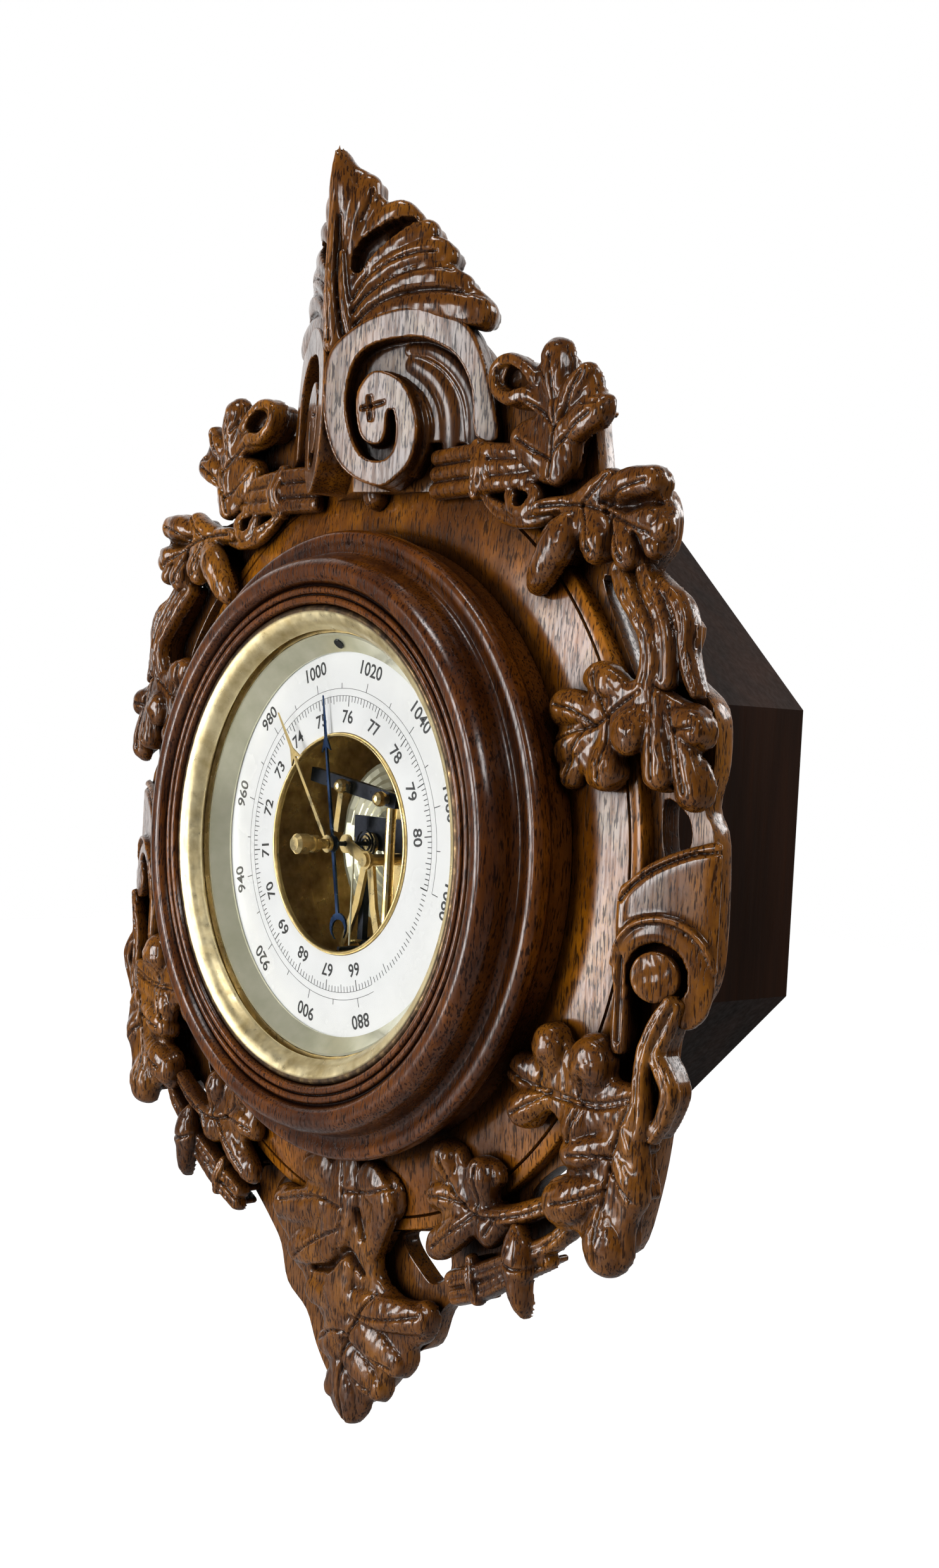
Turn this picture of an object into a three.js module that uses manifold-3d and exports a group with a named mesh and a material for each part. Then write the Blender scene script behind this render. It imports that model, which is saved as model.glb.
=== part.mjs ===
// Aneroid wall barometer in a carved oak surround, in millimetres, +Z up, front towards -Y.
// The origin is the middle of the wall face, straight behind the middle of the dial.
import * as THREE from "three";
import { mergeVertices } from "three/addons/utils/BufferGeometryUtils.js";
import Module from "manifold-3d";

const wasm = await Module();
wasm.setup();

// Driving dimensions
const fit = 0.3; // clearance left between pieces that touch
const overrun = 2; // how far a cutting solid runs past what it cuts
const dialToWall = 116; // printed face of the dial to the wall
const carvingReach = 200; // circle that the side and lower carving is laid out in
const roundSteps = 48;
const smallSteps = 20;
const tinySteps = 12;
const capsuleSteps = 32;

// Depths below are measured from the printed face of the dial: minus is towards the viewer.
const board = { front: 20, back: 28, bore: 82.4 };
const disc = {
  radius: 148, front: 12, floor: 14.8, strip: 11, stripWidth: 7, dishInner: 122, dishOuter: 139,
};
const ring = {
  outer: 120, rebate: 91, shelf: -5.9, lip: -16.4, bead: 1.5, beadPitch: 3.7,
  torusInner: 99.4, torusCrest: -20.2, foot: 117.6, footTop: 3, back: 11.7,
};
const carving = { front: 4, chamfer: 2.6, stemFront: 6, reedRadius: 3.3, reedSeat: 5, ribbon: 0.6 };
const crest = {
  angle: 27, keel: -20, scrollKeel: -18, backKeel: -2, leafHeight: 77, leafWidth: 68,
  leafSeatShare: 0.803, blockHalf: 37.4, blockRise: 19,
};
const scroll = { width: 72, height: 66, base: 135, bandDepth: 7 };
const sideScroll = {
  angle: 22, x: 161, z: -29.5, front: 9.5, width: 36, height: 70, chamfer: 0.3,
  recess: 4, recessRadius: 11, buttonRadius: 8.5, buttonRise: 2,
};
const boss = { radius: 6 };
const acorn = { length: 30, radius: 8 };
const pendant = { halfWidth: 54, height: 108, top: -122 };

// Case behind the carving
const box = { halfWidth: 129, wall: 10, centre: 7, panel: 8 };
const hanger = {
  drop: 44, width: 52, height: 24, thickness: 2, keyRadius: 5.5, keyDrop: 6, slotWidth: 5, slotRise: 8,
  pocket: 4, pocketInset: 1.25,
};
const woodScrew = { headRadius: 3, headHeight: 1, shankRadius: 1.5, length: 6, spacing: 40 };
const access = { z: -44, panelRadius: 6, drumRadius: 4.8 };

// Brass case and dial
const drum = {
  inner: 81, wall: 1, flangeRadius: 90.4, flangeFront: -7.2, back: 45, ledgeInner: 77, ledgeFront: 1.5,
};
const glass = { radius: 84, thickness: 2, bore: 2.3 };
const bezel = {
  lip: 81.7, lipFront: -10.6, seat: -9.8, crestRadius: 86, crest: -15.3, outer: 90.6, edge: -16.4,
};
const dial = { radius: 79, opening: 43, thickness: 1.2 };
const rim = { inner: 41.4, flange: 45, rise: 1 };
const reflector = { inner: 74, outer: 80.7, front: -6.9, thickness: 1 };
const reflectorScrew = { radius: 2.2, height: 1 };

// Movement
const plateSize = { radius: 52, thickness: 2, notch: 13 };
const capsule = { radius: 33, front: 27, back: 39.5, boss: 7, waves: 7, waveDepth: 0.9, rimWidth: 1.5 };
const stud = { radius: 2.5, flange: 4, flangeHeight: 1.5, front: 20.6 };
const bridge = { inner: 5, outer: 27, front: 21.4, thickness: 1.8, halfHeight: 36, legRadius: 2.4 };
const bar = {
  left: -33, right: 23, height: 5.6, front: 9.4, thickness: 2.6, z: 21, tilt: 8,
  postRadius: 2, farPost: 9, nearPost: 18,
};
const ball = { radius: 3, stemRadius: 1.9, stemLength: 0.5 };
const link = { at: -7, width: 3.2, drop: 18 };
const rod = { x: 19, radius: 2, bottom: -33, footRadius: 1.8, topGap: 0.6 };
const lever = {
  pivotX: 20, pivotRadius: 2.2, front: 17.6, thickness: 2.6, bottom: -2.5, top: 10.5, end: -13,
  armX: -6, armWidth: 3.2,
};
const shaft = {
  z: -41, y: 24, radius: 1.3, left: -12, right: 8, shortArm: 2.5, overlap: 0.8, longArm: 20, armRadius: 0.8,
};
const arbor = {
  radius: 0.9, front: -2.6, back: 16.9, flange: 1.9, flangeFront: 6, flangeGap: 5.4, flangeThickness: 0.6,
};
const chain = { radius: 0.4, top: 2.5, steps: 8 };
const spring = { inner: 1.3, outer: 6.2, turns: 3, thickness: 0.4, width: 0.9, front: 13 };
const cock = {
  front: 3.6, thickness: 1.4, reach: 13, drop: -5.2, eye: 3.6, strapHalf: 2.5, hole: 1.2,
  postRadius: 2.3, screwRadius: 2.6, screwHeight: 1.2,
};
const frameCock = {
  front: 15, thickness: 1.6, eye: 4.4, leftX: -14, rightX: 10, legWidth: 3.6, postRadius: 1.7,
};
const hand = {
  tip: 58, tail: 37, width: 1.5, hub: 3.3, thickness: 0.8, front: -2.6, angle: -11.3,
  crescent: 5.2, hornInner: 4.2, hornFrom: -50, hornTo: 230,
};
const setHand = { tip: 62, width: 1.8, hub: 3.4, thickness: 0.8, front: -5.2, angle: -37.3 };
const knob = {
  radius: 3.9, crown: 2.7, shoulder: -19.1, front: -20.4, back: -14.6, neck: 2.7,
  collar: 3.3, collarFront: -12.2, shank: 2, shankBack: -5.5,
};
const adjuster = { radius: 2, headRadius: 4, headHeight: 2.6, length: 5 };

// Shared colours
const oak = new THREE.MeshStandardMaterial({ color: 0x6e3c1c, roughness: 0.42 });
const darkOak = new THREE.MeshStandardMaterial({ color: 0x241710, roughness: 0.6 });
const brass = new THREE.MeshStandardMaterial({ color: 0xb5964e, roughness: 0.3, metalness: 1 });
const silver = new THREE.MeshStandardMaterial({ color: 0x9c9c84, roughness: 0.25, metalness: 1 });
const steel = new THREE.MeshStandardMaterial({ color: 0x2b2d33, roughness: 0.35, metalness: 1 });
const blued = new THREE.MeshStandardMaterial({ color: 0x3c506e, roughness: 0.3, metalness: 1 });
const enamel = new THREE.MeshStandardMaterial({ color: 0xf2f2ee, roughness: 0.35 });
const clear = new THREE.MeshStandardMaterial({
  color: 0xffffff, roughness: 0.02, transparent: true, opacity: 0.15,
});

const radians = THREE.MathUtils.degToRad;

// Solids: joining and cutting
function solidOf(geometry) {
  const bare = geometry.clone();
  for (const name of Object.keys(bare.attributes)) {
    if (name !== "position") bare.deleteAttribute(name);
  }
  const merged = mergeVertices(bare);
  return new wasm.Manifold(
    new wasm.Mesh({
      numProp: 3,
      vertProperties: merged.attributes.position.array,
      triVerts: new Uint32Array(merged.index.array),
    }),
  );
}

function geometryOf(solid) {
  const mesh = solid.getMesh();
  const geometry = new THREE.BufferGeometry();
  geometry.setAttribute("position", new THREE.BufferAttribute(mesh.vertProperties, 3));
  geometry.setIndex(new THREE.BufferAttribute(mesh.triVerts, 1));
  return geometry;
}

function joined(...geometries) {
  return geometryOf(geometries.map(solidOf).reduce((whole, next) => whole.add(next)));
}

function cut(geometry, ...tools) {
  const blank = solidOf(geometry);
  return geometryOf(tools.map(solidOf).reduce((whole, tool) => whole.subtract(tool), blank));
}

// Shapes: outlines lie in the plane of the dial, x to the right and z up
function outline(points) {
  return new THREE.Shape(points.map(([x, z]) => new THREE.Vector2(x, z)));
}

function shared(shares, width, height) {
  return shares.map(([x, z]) => [x * width, z * height]);
}

function bothSides(points) {
  const left = points.filter(([x]) => x > 0).map(([x, z]) => [-x, z]);
  return [...points, ...left.reverse()];
}

// A plate from y = 0 at its back to y = -thickness at its front
function plate(shape, thickness, chamfer = 0) {
  const geometry = new THREE.ExtrudeGeometry(shape, {
    depth: thickness - 2 * chamfer,
    bevelEnabled: chamfer > 0,
    bevelThickness: chamfer,
    bevelSize: chamfer,
    bevelOffset: -chamfer,
    bevelSegments: 1,
    curveSegments: tinySteps / 2,
  });
  return geometry.translate(0, 0, chamfer).rotateX(Math.PI / 2);
}

// A ring or disc turned about the dial axis, from points of radius and depth
function turned(points, steps = roundSteps) {
  const onAxis = points[0][0] === 0;
  const loop = onAxis ? points : [...points, points[0]];
  const area = loop.reduce((sum, [r, y], i) => {
    const [nextR, nextY] = loop[(i + 1) % loop.length];
    return sum + r * nextY - nextR * y;
  }, 0);
  const ordered = area < 0 ? [...loop].reverse() : loop;
  return new THREE.LatheGeometry(ordered.map(([r, y]) => new THREE.Vector2(r, y)), steps);
}

function post(radius, front, back, x = 0, z = 0, steps = tinySteps) {
  const geometry = new THREE.CylinderGeometry(radius, radius, back - front, steps);
  return geometry.translate(x, (front + back) / 2, z);
}

function block(left, right, front, back, bottom, top) {
  const geometry = new THREE.BoxGeometry(right - left, back - front, top - bottom);
  return geometry.translate((left + right) / 2, (front + back) / 2, (bottom + top) / 2);
}

function upright(radius, bottom, top, x, y, steps = tinySteps) {
  const geometry = new THREE.CylinderGeometry(radius, radius, top - bottom, steps).rotateX(Math.PI / 2);
  return geometry.translate(x, y, (bottom + top) / 2);
}

function across(radius, left, right, y, z, steps = tinySteps) {
  const geometry = new THREE.CylinderGeometry(radius, radius, right - left, steps).rotateZ(Math.PI / 2);
  return geometry.translate((left + right) / 2, y, z);
}

function circleHole(radius, x = 0, z = 0) {
  const path = new THREE.Path();
  path.absarc(x, z, radius, 0, 2 * Math.PI, true);
  return path;
}

// The assembly: everything in front of the wall hangs on the dial's own frame
const barometer = new THREE.Group();
const front = new THREE.Group();
front.position.y = -dialToWall;
barometer.add(front);

function piece(name, geometry, material, parent = front) {
  const mesh = new THREE.Mesh(geometry, material);
  mesh.name = name;
  parent.add(mesh);
  return mesh;
}

// Carved board: a dished disc on a pierced backing that follows the carving
const backingShares = [
  [0, 1.05], [0.11, 1.02], [0.22, 0.94], [0.3, 0.86], [0.36, 0.83], [0.45, 0.88], [0.53, 0.83],
  [0.55, 0.74], [0.58, 0.66], [0.69, 0.655], [0.725, 0.61], [0.72, 0.55], [0.69, 0.51], [0.74, 0.45],
  [0.79, 0.42], [0.78, 0.35], [0.85, 0.29], [0.86, 0.2], [0.845, 0.13], [0.87, 0.07], [0.875, -0.1],
  [0.86, -0.17], [0.82, -0.215], [0.79, -0.26], [0.785, -0.4], [0.765, -0.52], [0.73, -0.62],
  [0.67, -0.63], [0.6, -0.58], [0.58, -0.66], [0.55, -0.71], [0.5, -0.71], [0.38, -0.77], [0.3, -0.82],
  [0.26, -0.86], [0.23, -0.93], [0.16, -0.97], [0.12, -1.03], [0.07, -1.08], [0, -1.12],
];
const windowShares = [
  [[0.585, 0.5], [0.63, 0.49], [0.69, 0.42], [0.725, 0.36], [0.73, 0.31], [0.7, 0.3], [0.65, 0.38]],
  [[0.756, 0.135], [0.81, 0.11], [0.815, 0.06], [0.765, 0.04]],
  [[0.5, -0.565], [0.55, -0.52], [0.575, -0.515], [0.555, -0.56], [0.52, -0.6], [0.49, -0.6]],
  [
    [0.15, -0.735], [0.24, -0.712], [0.28, -0.74], [0.28, -0.78], [0.235, -0.81], [0.19, -0.79],
    [0.15, -0.76],
  ],
];

function place(shares, side = 1) {
  return shares.map(([x, z]) => [side * x * carvingReach, z * carvingReach]);
}

function windowTools() {
  const loops = windowShares.flatMap((shares) => [place(shares), place(shares, -1)]);
  return loops.map((loop) => plate(outline(loop), board.back).translate(0, board.back + overrun, 0));
}

const discProfile = [
  [board.bore, board.back], [board.bore, disc.front], [disc.dishInner, disc.front],
  [(disc.dishInner + disc.dishOuter) / 2, disc.floor], [disc.dishOuter, disc.front],
  [disc.radius - disc.stripWidth, disc.strip], [disc.radius, disc.strip], [disc.radius, board.back],
];
const backing = plate(outline(bothSides(place(backingShares))), board.back - board.front);
const pierced = cut(
  backing.translate(0, board.back, 0),
  ...windowTools(),
  post(disc.radius - overrun, 0, board.back + overrun, 0, 0, roundSteps),
);
piece("surround_board", joined(pierced, turned(discProfile)), oak);

// Turned ring: rebate for the brass case, two small beads, a big torus, a cove and a rim bead
const ringProfile = [
  [board.bore, ring.back], [board.bore, ring.shelf], [ring.rebate, ring.shelf], [ring.rebate, ring.lip],
  [ring.rebate + ring.bead, ring.lip - ring.bead], [ring.rebate + ring.beadPitch, ring.lip],
  [ring.rebate + ring.beadPitch + ring.bead, ring.lip - ring.bead],
  [ring.rebate + 2 * ring.beadPitch, ring.lip],
];
const torusShares = [
  [0, 0.95], [0.126, 1], [0.252, 0.975], [0.369, 0.886], [0.456, 0.743], [0.495, 0.569], [0.524, 0.396],
  [0.592, 0.307], [0.689, 0.327], [0.806, 0.356], [0.922, 0.317], [0.99, 0.198], [1, 0.05], [0.932, -0.05],
];
for (const [outward, raised] of torusShares) {
  const radius = ring.torusInner + outward * (ring.outer - ring.torusInner);
  ringProfile.push([radius, raised * ring.torusCrest]);
}
ringProfile.push([ring.foot, ring.footTop], [ring.foot, ring.back]);
piece("turned_ring", turned(ringProfile), oak);

// Every carved piece is trimmed to sit on the board, the disc and the ring
const farSide = carvingReach * 2;
const seatTools = [
  block(-farSide, farSide, board.front - fit, board.back + farSide, -farSide, farSide),
  post(disc.radius + fit, disc.strip - fit, board.back, 0, 0, roundSteps),
  post(ring.outer + fit, ring.torusCrest - farSide, disc.front, 0, 0, roundSteps),
];

function seated(geometry) {
  return cut(geometry, ...seatTools);
}

function relief(points, frontDepth = carving.front, chamfer = carving.chamfer) {
  const thickness = board.front - frontDepth;
  return plate(outline(points), thickness, chamfer).translate(0, board.front, 0);
}

// An oak leaf with its stem at the origin and its tip up, as shares of half its width and its length
const oakLeafShares = [
  [0.14, 0], [0.18, 0.14], [0.62, 0.1], [0.76, 0.26], [0.46, 0.38], [0.96, 0.44], [1, 0.62],
  [0.58, 0.68], [0.72, 0.86], [0.38, 0.98], [0, 1],
];

function oakLeaf(leaf, frontDepth = carving.front) {
  const points = bothSides(shared(oakLeafShares, leaf.width / 2, leaf.length));
  const geometry = relief(points, frontDepth);
  return geometry.rotateY(radians(leaf.turn)).translate(leaf.x, 0, leaf.z);
}

// An acorn with its cup at the origin and its tip up
const acornShares = [
  [0, 0], [0.7, 0.03], [1, 0.22], [1, 0.36], [0.84, 0.36], [0.8, 0.6], [0.55, 0.84], [0.15, 1], [0, 1],
];

function acornSolid(at) {
  const upwards = turned(shared(acornShares, acorn.radius, acorn.length), tinySteps).rotateX(Math.PI / 2);
  return upwards.rotateY(radians(at.turn)).translate(at.x, at.y, at.z);
}

// Crest: a keeled palm leaf over two scrolls, its halves turned back from the keel by crest.angle
const tilt = radians(crest.angle);
const leafBase = scroll.base + crest.leafSeatShare * scroll.height;
const leafThickness = (crest.backKeel - crest.keel) * Math.cos(tilt);
const scrollThickness = (crest.backKeel - crest.scrollKeel) * Math.cos(tilt);
const palmShares = [
  [0, 0], [0.12, 0.065], [0.26, 0.155], [0.47, 0.195], [0.66, 0.17], [0.87, 0.1], [0.97, 0.08],
  [1, 0.19], [0.89, 0.25], [0.77, 0.29], [0.79, 0.36], [0.71, 0.41], [0.72, 0.47], [0.66, 0.51],
  [0.57, 0.53], [0.5, 0.6], [0.4, 0.64], [0.27, 0.7], [0.27, 0.8], [0.19, 0.86], [0.11, 0.87],
  [0.05, 0.97], [0, 1],
];

function palmHalf(side) {
  const shape = outline(shared(palmShares, side * crest.leafWidth, crest.leafHeight));
  const flat = plate(shape, leafThickness).translate(0, leafThickness, leafBase);
  const past = block(-farSide, -fit, -farSide, farSide, -farSide, farSide).rotateY(side > 0 ? 0 : Math.PI);
  return cut(flat.rotateZ(side * tilt).translate(0, crest.keel, 0), past);
}
piece("crest_leaf", joined(palmHalf(1), palmHalf(-1)), oak);

const wedgeKeel = crest.backKeel + fit / Math.cos(tilt);
const wedgeSide = wedgeKeel + crest.blockHalf * Math.tan(tilt);
const wedgeHalf = [
  [0, board.front], [crest.blockHalf, board.front], [crest.blockHalf, wedgeSide], [0, wedgeKeel],
];
const wedge = new THREE.ExtrudeGeometry(outline(bothSides(wedgeHalf)), {
  depth: leafBase + crest.blockRise - scroll.base,
  bevelEnabled: false,
});
const crestBoss = new THREE.SphereGeometry(boss.radius, tinySteps, tinySteps / 2);
crestBoss.translate(0, disc.strip, scroll.base);
piece("crest_block", seated(joined(wedge.translate(0, 0, scroll.base), crestBoss)), oak);

// Scroll: a raised band curling into an eye over a sunk ground
const scrollEdgeShares = [
  [1, 0.26], [0.96, 0.5], [0.89, 0.73], [0.8, 0.88], [0.69, 0.96], [0.56, 0.99], [0.44, 1],
  [0.25, 0.95], [0.1, 0.85], [0.01, 0.72], [0, 0.5], [0.03, 0.32], [0.1, 0.15], [0.21, 0.04],
  [0.36, 0], [0.46, 0.06], [0.53, 0.15],
];
const scrollEyeShares = [
  [0.555, 0.32], [0.51, 0.49], [0.43, 0.61], [0.29, 0.65], [0.21, 0.56], [0.195, 0.45],
  [0.22, 0.3], [0.28, 0.25], [0.34, 0.25], [0.375, 0.3], [0.38, 0.52],
];
const scrollInnerShares = [
  [0.43, 0.36], [0.43, 0.3], [0.415, 0.19], [0.35, 0.14], [0.24, 0.18], [0.155, 0.35],
  [0.125, 0.53], [0.18, 0.71], [0.29, 0.81], [0.49, 0.83], [0.61, 0.81], [0.75, 0.71],
  [0.85, 0.53], [0.875, 0.26],
];
const scrollFootShare = [0.555, 0.26];

function scrollSolid() {
  const band = [...scrollEdgeShares, ...scrollEyeShares, ...scrollInnerShares];
  const ground = [...scrollEdgeShares, scrollFootShare];
  const raised = plate(outline(shared(band, scroll.width, scroll.height)), scrollThickness);
  const sunkShape = outline(shared(ground, scroll.width, scroll.height));
  const sunk = plate(sunkShape, scrollThickness - scroll.bandDepth);
  const whole = joined(raised, sunk).translate(0, scrollThickness, scroll.base);
  const middle = block(-farSide, fit / 2, -farSide, farSide, -farSide, farSide);
  return cut(whole.rotateZ(tilt).translate(0, crest.scrollKeel, 0), middle, ...seatTools);
}

// Reeded rods: a few round reeds side by side on a flat ground, tied by a ribbon
function reeds(bundle) {
  const pitch = 2 * carving.reedRadius - fit;
  const half = (bundle.count - 1) / 2;
  const axis = carving.stemFront + carving.reedRadius;
  const parts = [];
  for (let i = 0; i < bundle.count; i++) {
    const z = (i - half) * pitch;
    parts.push(across(carving.reedRadius, 0, bundle.length, axis, z));
  }
  const reach = half * pitch + carving.reedRadius;
  const tied = reach + carving.ribbon;
  const tieFrom = bundle.length * bundle.tieShare;
  const tieTo = tieFrom + carving.reedRadius;
  parts.push(block(0, bundle.length, axis, board.front, fit - reach, reach - fit));
  parts.push(block(tieFrom, tieTo, carving.stemFront - carving.ribbon, board.front, -tied, tied));
  const geometry = joined(...parts);
  return geometry.rotateY(radians(-bundle.angle)).translate(bundle.x, 0, bundle.z);
}

const upperReeds = {
  x: 38, z: scroll.base + carving.reedSeat, length: 31.6, angle: 0, count: 3, tieShare: 0.74,
};
const upperLeaf = { x: 99, z: 137, turn: -10, length: 46, width: 48 };
const cornerLeaf = { x: 106, z: 122, turn: 101, length: 47, width: 36 };
const upperAcorn = { x: 107, y: 9, z: 117, turn: -138 };
const sideLeafInner = { x: 142, z: 53, turn: -111, length: 37, width: 34 };
const sideLeafOuter = { x: 151, z: 64, turn: 158, length: 41, width: 37 };
const lowerLeafInner = { x: 147, z: -72, turn: -92, length: 54, width: 36 };
const lowerLeafOuter = { x: 149, z: -81, turn: -168, length: 53, width: 41 };
const bottomLeaf = { x: 108, z: -118, turn: -76, length: 50, width: 38 };
const lowerReeds = { x: 74, z: -155, length: 43, angle: 30, count: 2, tieShare: 0.3 };
const lowerAcorn = { x: 102, y: 11, z: -139, turn: 152 };
const twistShares = [
  [0.635, 0.488], [0.67, 0.488], [0.7, 0.46], [0.74, 0.44], [0.79, 0.46], [0.825, 0.435],
  [0.815, 0.385], [0.785, 0.345], [0.75, 0.34], [0.735, 0.37], [0.69, 0.42], [0.645, 0.46],
];
const podShares = [
  [0.792, -0.235], [0.83, -0.235], [0.83, -0.26], [0.85, -0.3], [0.84, -0.35], [0.8, -0.4],
  [0.765, -0.38], [0.757, -0.33], [0.765, -0.28], [0.785, -0.26],
];
const sideScrollShares = [
  [-0.44, 0.35], [0, 0.47], [0.53, 0.65], [0.58, 0.29], [0.58, 0.09], [0.53, -0.06],
  [0.39, -0.155], [0.22, -0.22], [0.18, -0.135], [-0.05, -0.14], [-0.26, -0.06], [-0.26, -0.36],
  [-0.43, -0.36],
];

function sideScrollSolid() {
  const depth = board.back;
  const shape = outline(shared(sideScrollShares, sideScroll.width, sideScroll.height));
  const body = plate(shape, depth, sideScroll.chamfer);
  const sunk = post(sideScroll.recessRadius, -depth - overrun, sideScroll.recess - depth, 0, 0, smallSteps);
  const carved = cut(body, sunk).translate(0, depth, 0).rotateZ(radians(sideScroll.angle));
  return seated(carved.translate(sideScroll.x, sideScroll.front, sideScroll.z));
}

function sideButton() {
  const depth = sideScroll.recess - fit;
  const button = post(sideScroll.buttonRadius, -sideScroll.buttonRise, depth, 0, 0, smallSteps);
  return button.rotateZ(radians(sideScroll.angle)).translate(sideScroll.x, sideScroll.front, sideScroll.z);
}

for (const [side, facing] of [["left", -1], ["right", 1]]) {
  const half = new THREE.Group();
  half.scale.x = facing;
  front.add(half);
  const carved = (name, geometry) => piece(side + "_" + name, geometry, oak, half);
  carved("crest_scroll", scrollSolid());
  carved("upper_reeds", seated(reeds(upperReeds)));
  carved("upper_leaf", seated(oakLeaf(upperLeaf)));
  carved("corner_leaf", seated(joined(oakLeaf(cornerLeaf), acornSolid(upperAcorn))));
  carved("twisted_stem", seated(relief(place(twistShares), carving.stemFront)));
  carved("side_leaves", seated(joined(oakLeaf(sideLeafInner), oakLeaf(sideLeafOuter))));
  carved("side_scroll", sideScrollSolid());
  carved("scroll_button", sideButton());
  carved("lower_stem", seated(relief(place(podShares), carving.stemFront)));
  carved("lower_leaves", seated(joined(oakLeaf(lowerLeafInner), oakLeaf(lowerLeafOuter))));
  carved("bottom_leaf", seated(oakLeaf(bottomLeaf)));
  carved("lower_reeds", seated(joined(reeds(lowerReeds), acornSolid(lowerAcorn))));
}

const pendantShares = [
  [0.56, 0], [0.6, -0.12], [0.5, -0.23], [0.6, -0.31], [0.85, -0.35], [1, -0.41], [0.93, -0.5],
  [0.7, -0.6], [0.58, -0.62], [0.52, -0.75], [0.38, -0.83], [0.16, -0.95], [0, -1],
];
const pendantPoints = bothSides([[0, 0], ...shared(pendantShares, pendant.halfWidth, pendant.height)]);
piece("pendant", seated(relief(pendantPoints).translate(0, 0, pendant.top)), oak);

// Octagonal case: a shell with a back panel let in flush, hung by a brass plate
function octagon(halfWidth) {
  const corner = halfWidth * Math.tan(Math.PI / 8);
  const z = box.centre;
  return [
    [halfWidth, z - corner], [halfWidth, z + corner], [corner, z + halfWidth],
    [-corner, z + halfWidth], [-halfWidth, z + corner], [-halfWidth, z - corner],
    [-corner, z - halfWidth], [corner, z - halfWidth],
  ];
}

const caseDepth = dialToWall - board.back - fit;
const shell = outline(octagon(box.halfWidth));
shell.holes.push(outline(octagon(box.halfWidth - box.wall)));
piece("octagon_case", plate(shell, caseDepth).translate(0, dialToWall, 0), darkOak);

const panelShape = outline(octagon(box.halfWidth - box.wall - fit));
panelShape.holes.push(circleHole(access.panelRadius, 0, access.z));
const hangerHalf = hanger.width / 2;
const recessDepth = hanger.thickness + 2 * fit;
const hangerFront = dialToWall - fit - hanger.thickness;
const hangerZ = box.centre + box.halfWidth - hanger.drop;
const hangerTop = hangerZ + hanger.height / 2;
const hangerBottom = hangerZ - hanger.height / 2;
const recessFront = dialToWall - recessDepth;
const hangerRecess = block(
  -hangerHalf - fit, hangerHalf + fit, recessFront, dialToWall + overrun, hangerBottom - fit, hangerTop + fit,
);
const keyPocket = block(
  -hanger.keyRadius, hanger.keyRadius, recessFront - hanger.pocket, dialToWall,
  hangerBottom + hanger.slotWidth / 2, hangerTop - hanger.pocketInset,
);
const screwAt = [-woodScrew.spacing / 2, woodScrew.spacing / 2];
const boreRadius = woodScrew.shankRadius + fit;
const panelFront = dialToWall - box.panel;
const pilots = screwAt.map((x) => post(boreRadius, panelFront - overrun, dialToWall, x, hangerZ));
const panel = plate(panelShape, box.panel).translate(0, dialToWall, 0);
piece("back_panel", cut(panel, hangerRecess, keyPocket, ...pilots), darkOak);

const hangerBack = dialToWall - fit;
const keyZ = hangerZ - hanger.keyDrop;
const through = [hangerFront - overrun, hangerBack + overrun];
const headFront = hangerBack - woodScrew.headHeight;
const hangerPlate = cut(
  block(-hangerHalf, hangerHalf, hangerFront, hangerBack, hangerBottom, hangerTop),
  post(hanger.keyRadius, ...through, 0, keyZ, smallSteps),
  block(-hanger.slotWidth / 2, hanger.slotWidth / 2, ...through, keyZ, keyZ + hanger.slotRise),
  ...screwAt.map((x) => post(boreRadius, ...through, x, hangerZ)),
  ...screwAt.map((x) => post(woodScrew.headRadius + fit, headFront - fit, hangerBack + overrun, x, hangerZ)),
);
piece("hanger_plate", hangerPlate, brass);
screwAt.forEach((x, i) => {
  const head = post(woodScrew.headRadius, headFront, hangerBack, x, hangerZ);
  const shank = post(woodScrew.shankRadius, hangerBack - woodScrew.length, hangerBack, x, hangerZ);
  piece("hanger_screw_" + (i + 1), joined(head, shank), brass);
});

// Brass case: a drum with a flange that rests in the ring's rebate and a ledge that carries the dial
const drumOuter = drum.inner + drum.wall;
const flangeBack = drum.flangeFront + drum.wall;
const ledgeBack = drum.ledgeFront + drum.wall;
const drumSolid = turned([
  [0, drum.back], [drumOuter, drum.back], [drumOuter, flangeBack], [drum.flangeRadius, flangeBack],
  [drum.flangeRadius, drum.flangeFront], [drum.inner, drum.flangeFront], [drum.inner, drum.ledgeFront],
  [drum.ledgeInner, drum.ledgeFront], [drum.ledgeInner, ledgeBack], [drum.inner, ledgeBack],
  [drum.inner, drum.back - drum.wall], [0, drum.back - drum.wall],
]);
const wallFront = drum.back - drum.wall - overrun;
const drumHole = post(access.drumRadius, wallFront, drum.back + overrun, 0, access.z, smallSteps);
piece("movement_case", cut(drumSolid, drumHole), brass);

const glassBack = drum.flangeFront - fit;
const glassFront = glassBack - glass.thickness;
piece("glass", turned([
  [glass.bore, glassBack], [glass.radius, glassBack], [glass.radius, glassFront], [glass.bore, glassFront],
]), clear);

piece("bezel", turned([
  [bezel.outer, glassBack], [bezel.outer, bezel.edge], [bezel.crestRadius, bezel.crest],
  [(bezel.lip + bezel.crestRadius) / 2, (bezel.crest + bezel.lipFront) / 2], [bezel.lip, bezel.lipFront],
  [bezel.lip, bezel.seat], [glass.radius + fit, bezel.seat], [glass.radius + fit, glassBack],
]), brass);

const reflectorBack = -fit;
piece("reflector", turned([
  [reflector.inner, reflectorBack], [reflector.inner + reflector.thickness * 2, reflectorBack],
  [reflector.outer, reflector.front + reflector.thickness], [reflector.outer, reflector.front],
]), silver);

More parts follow.
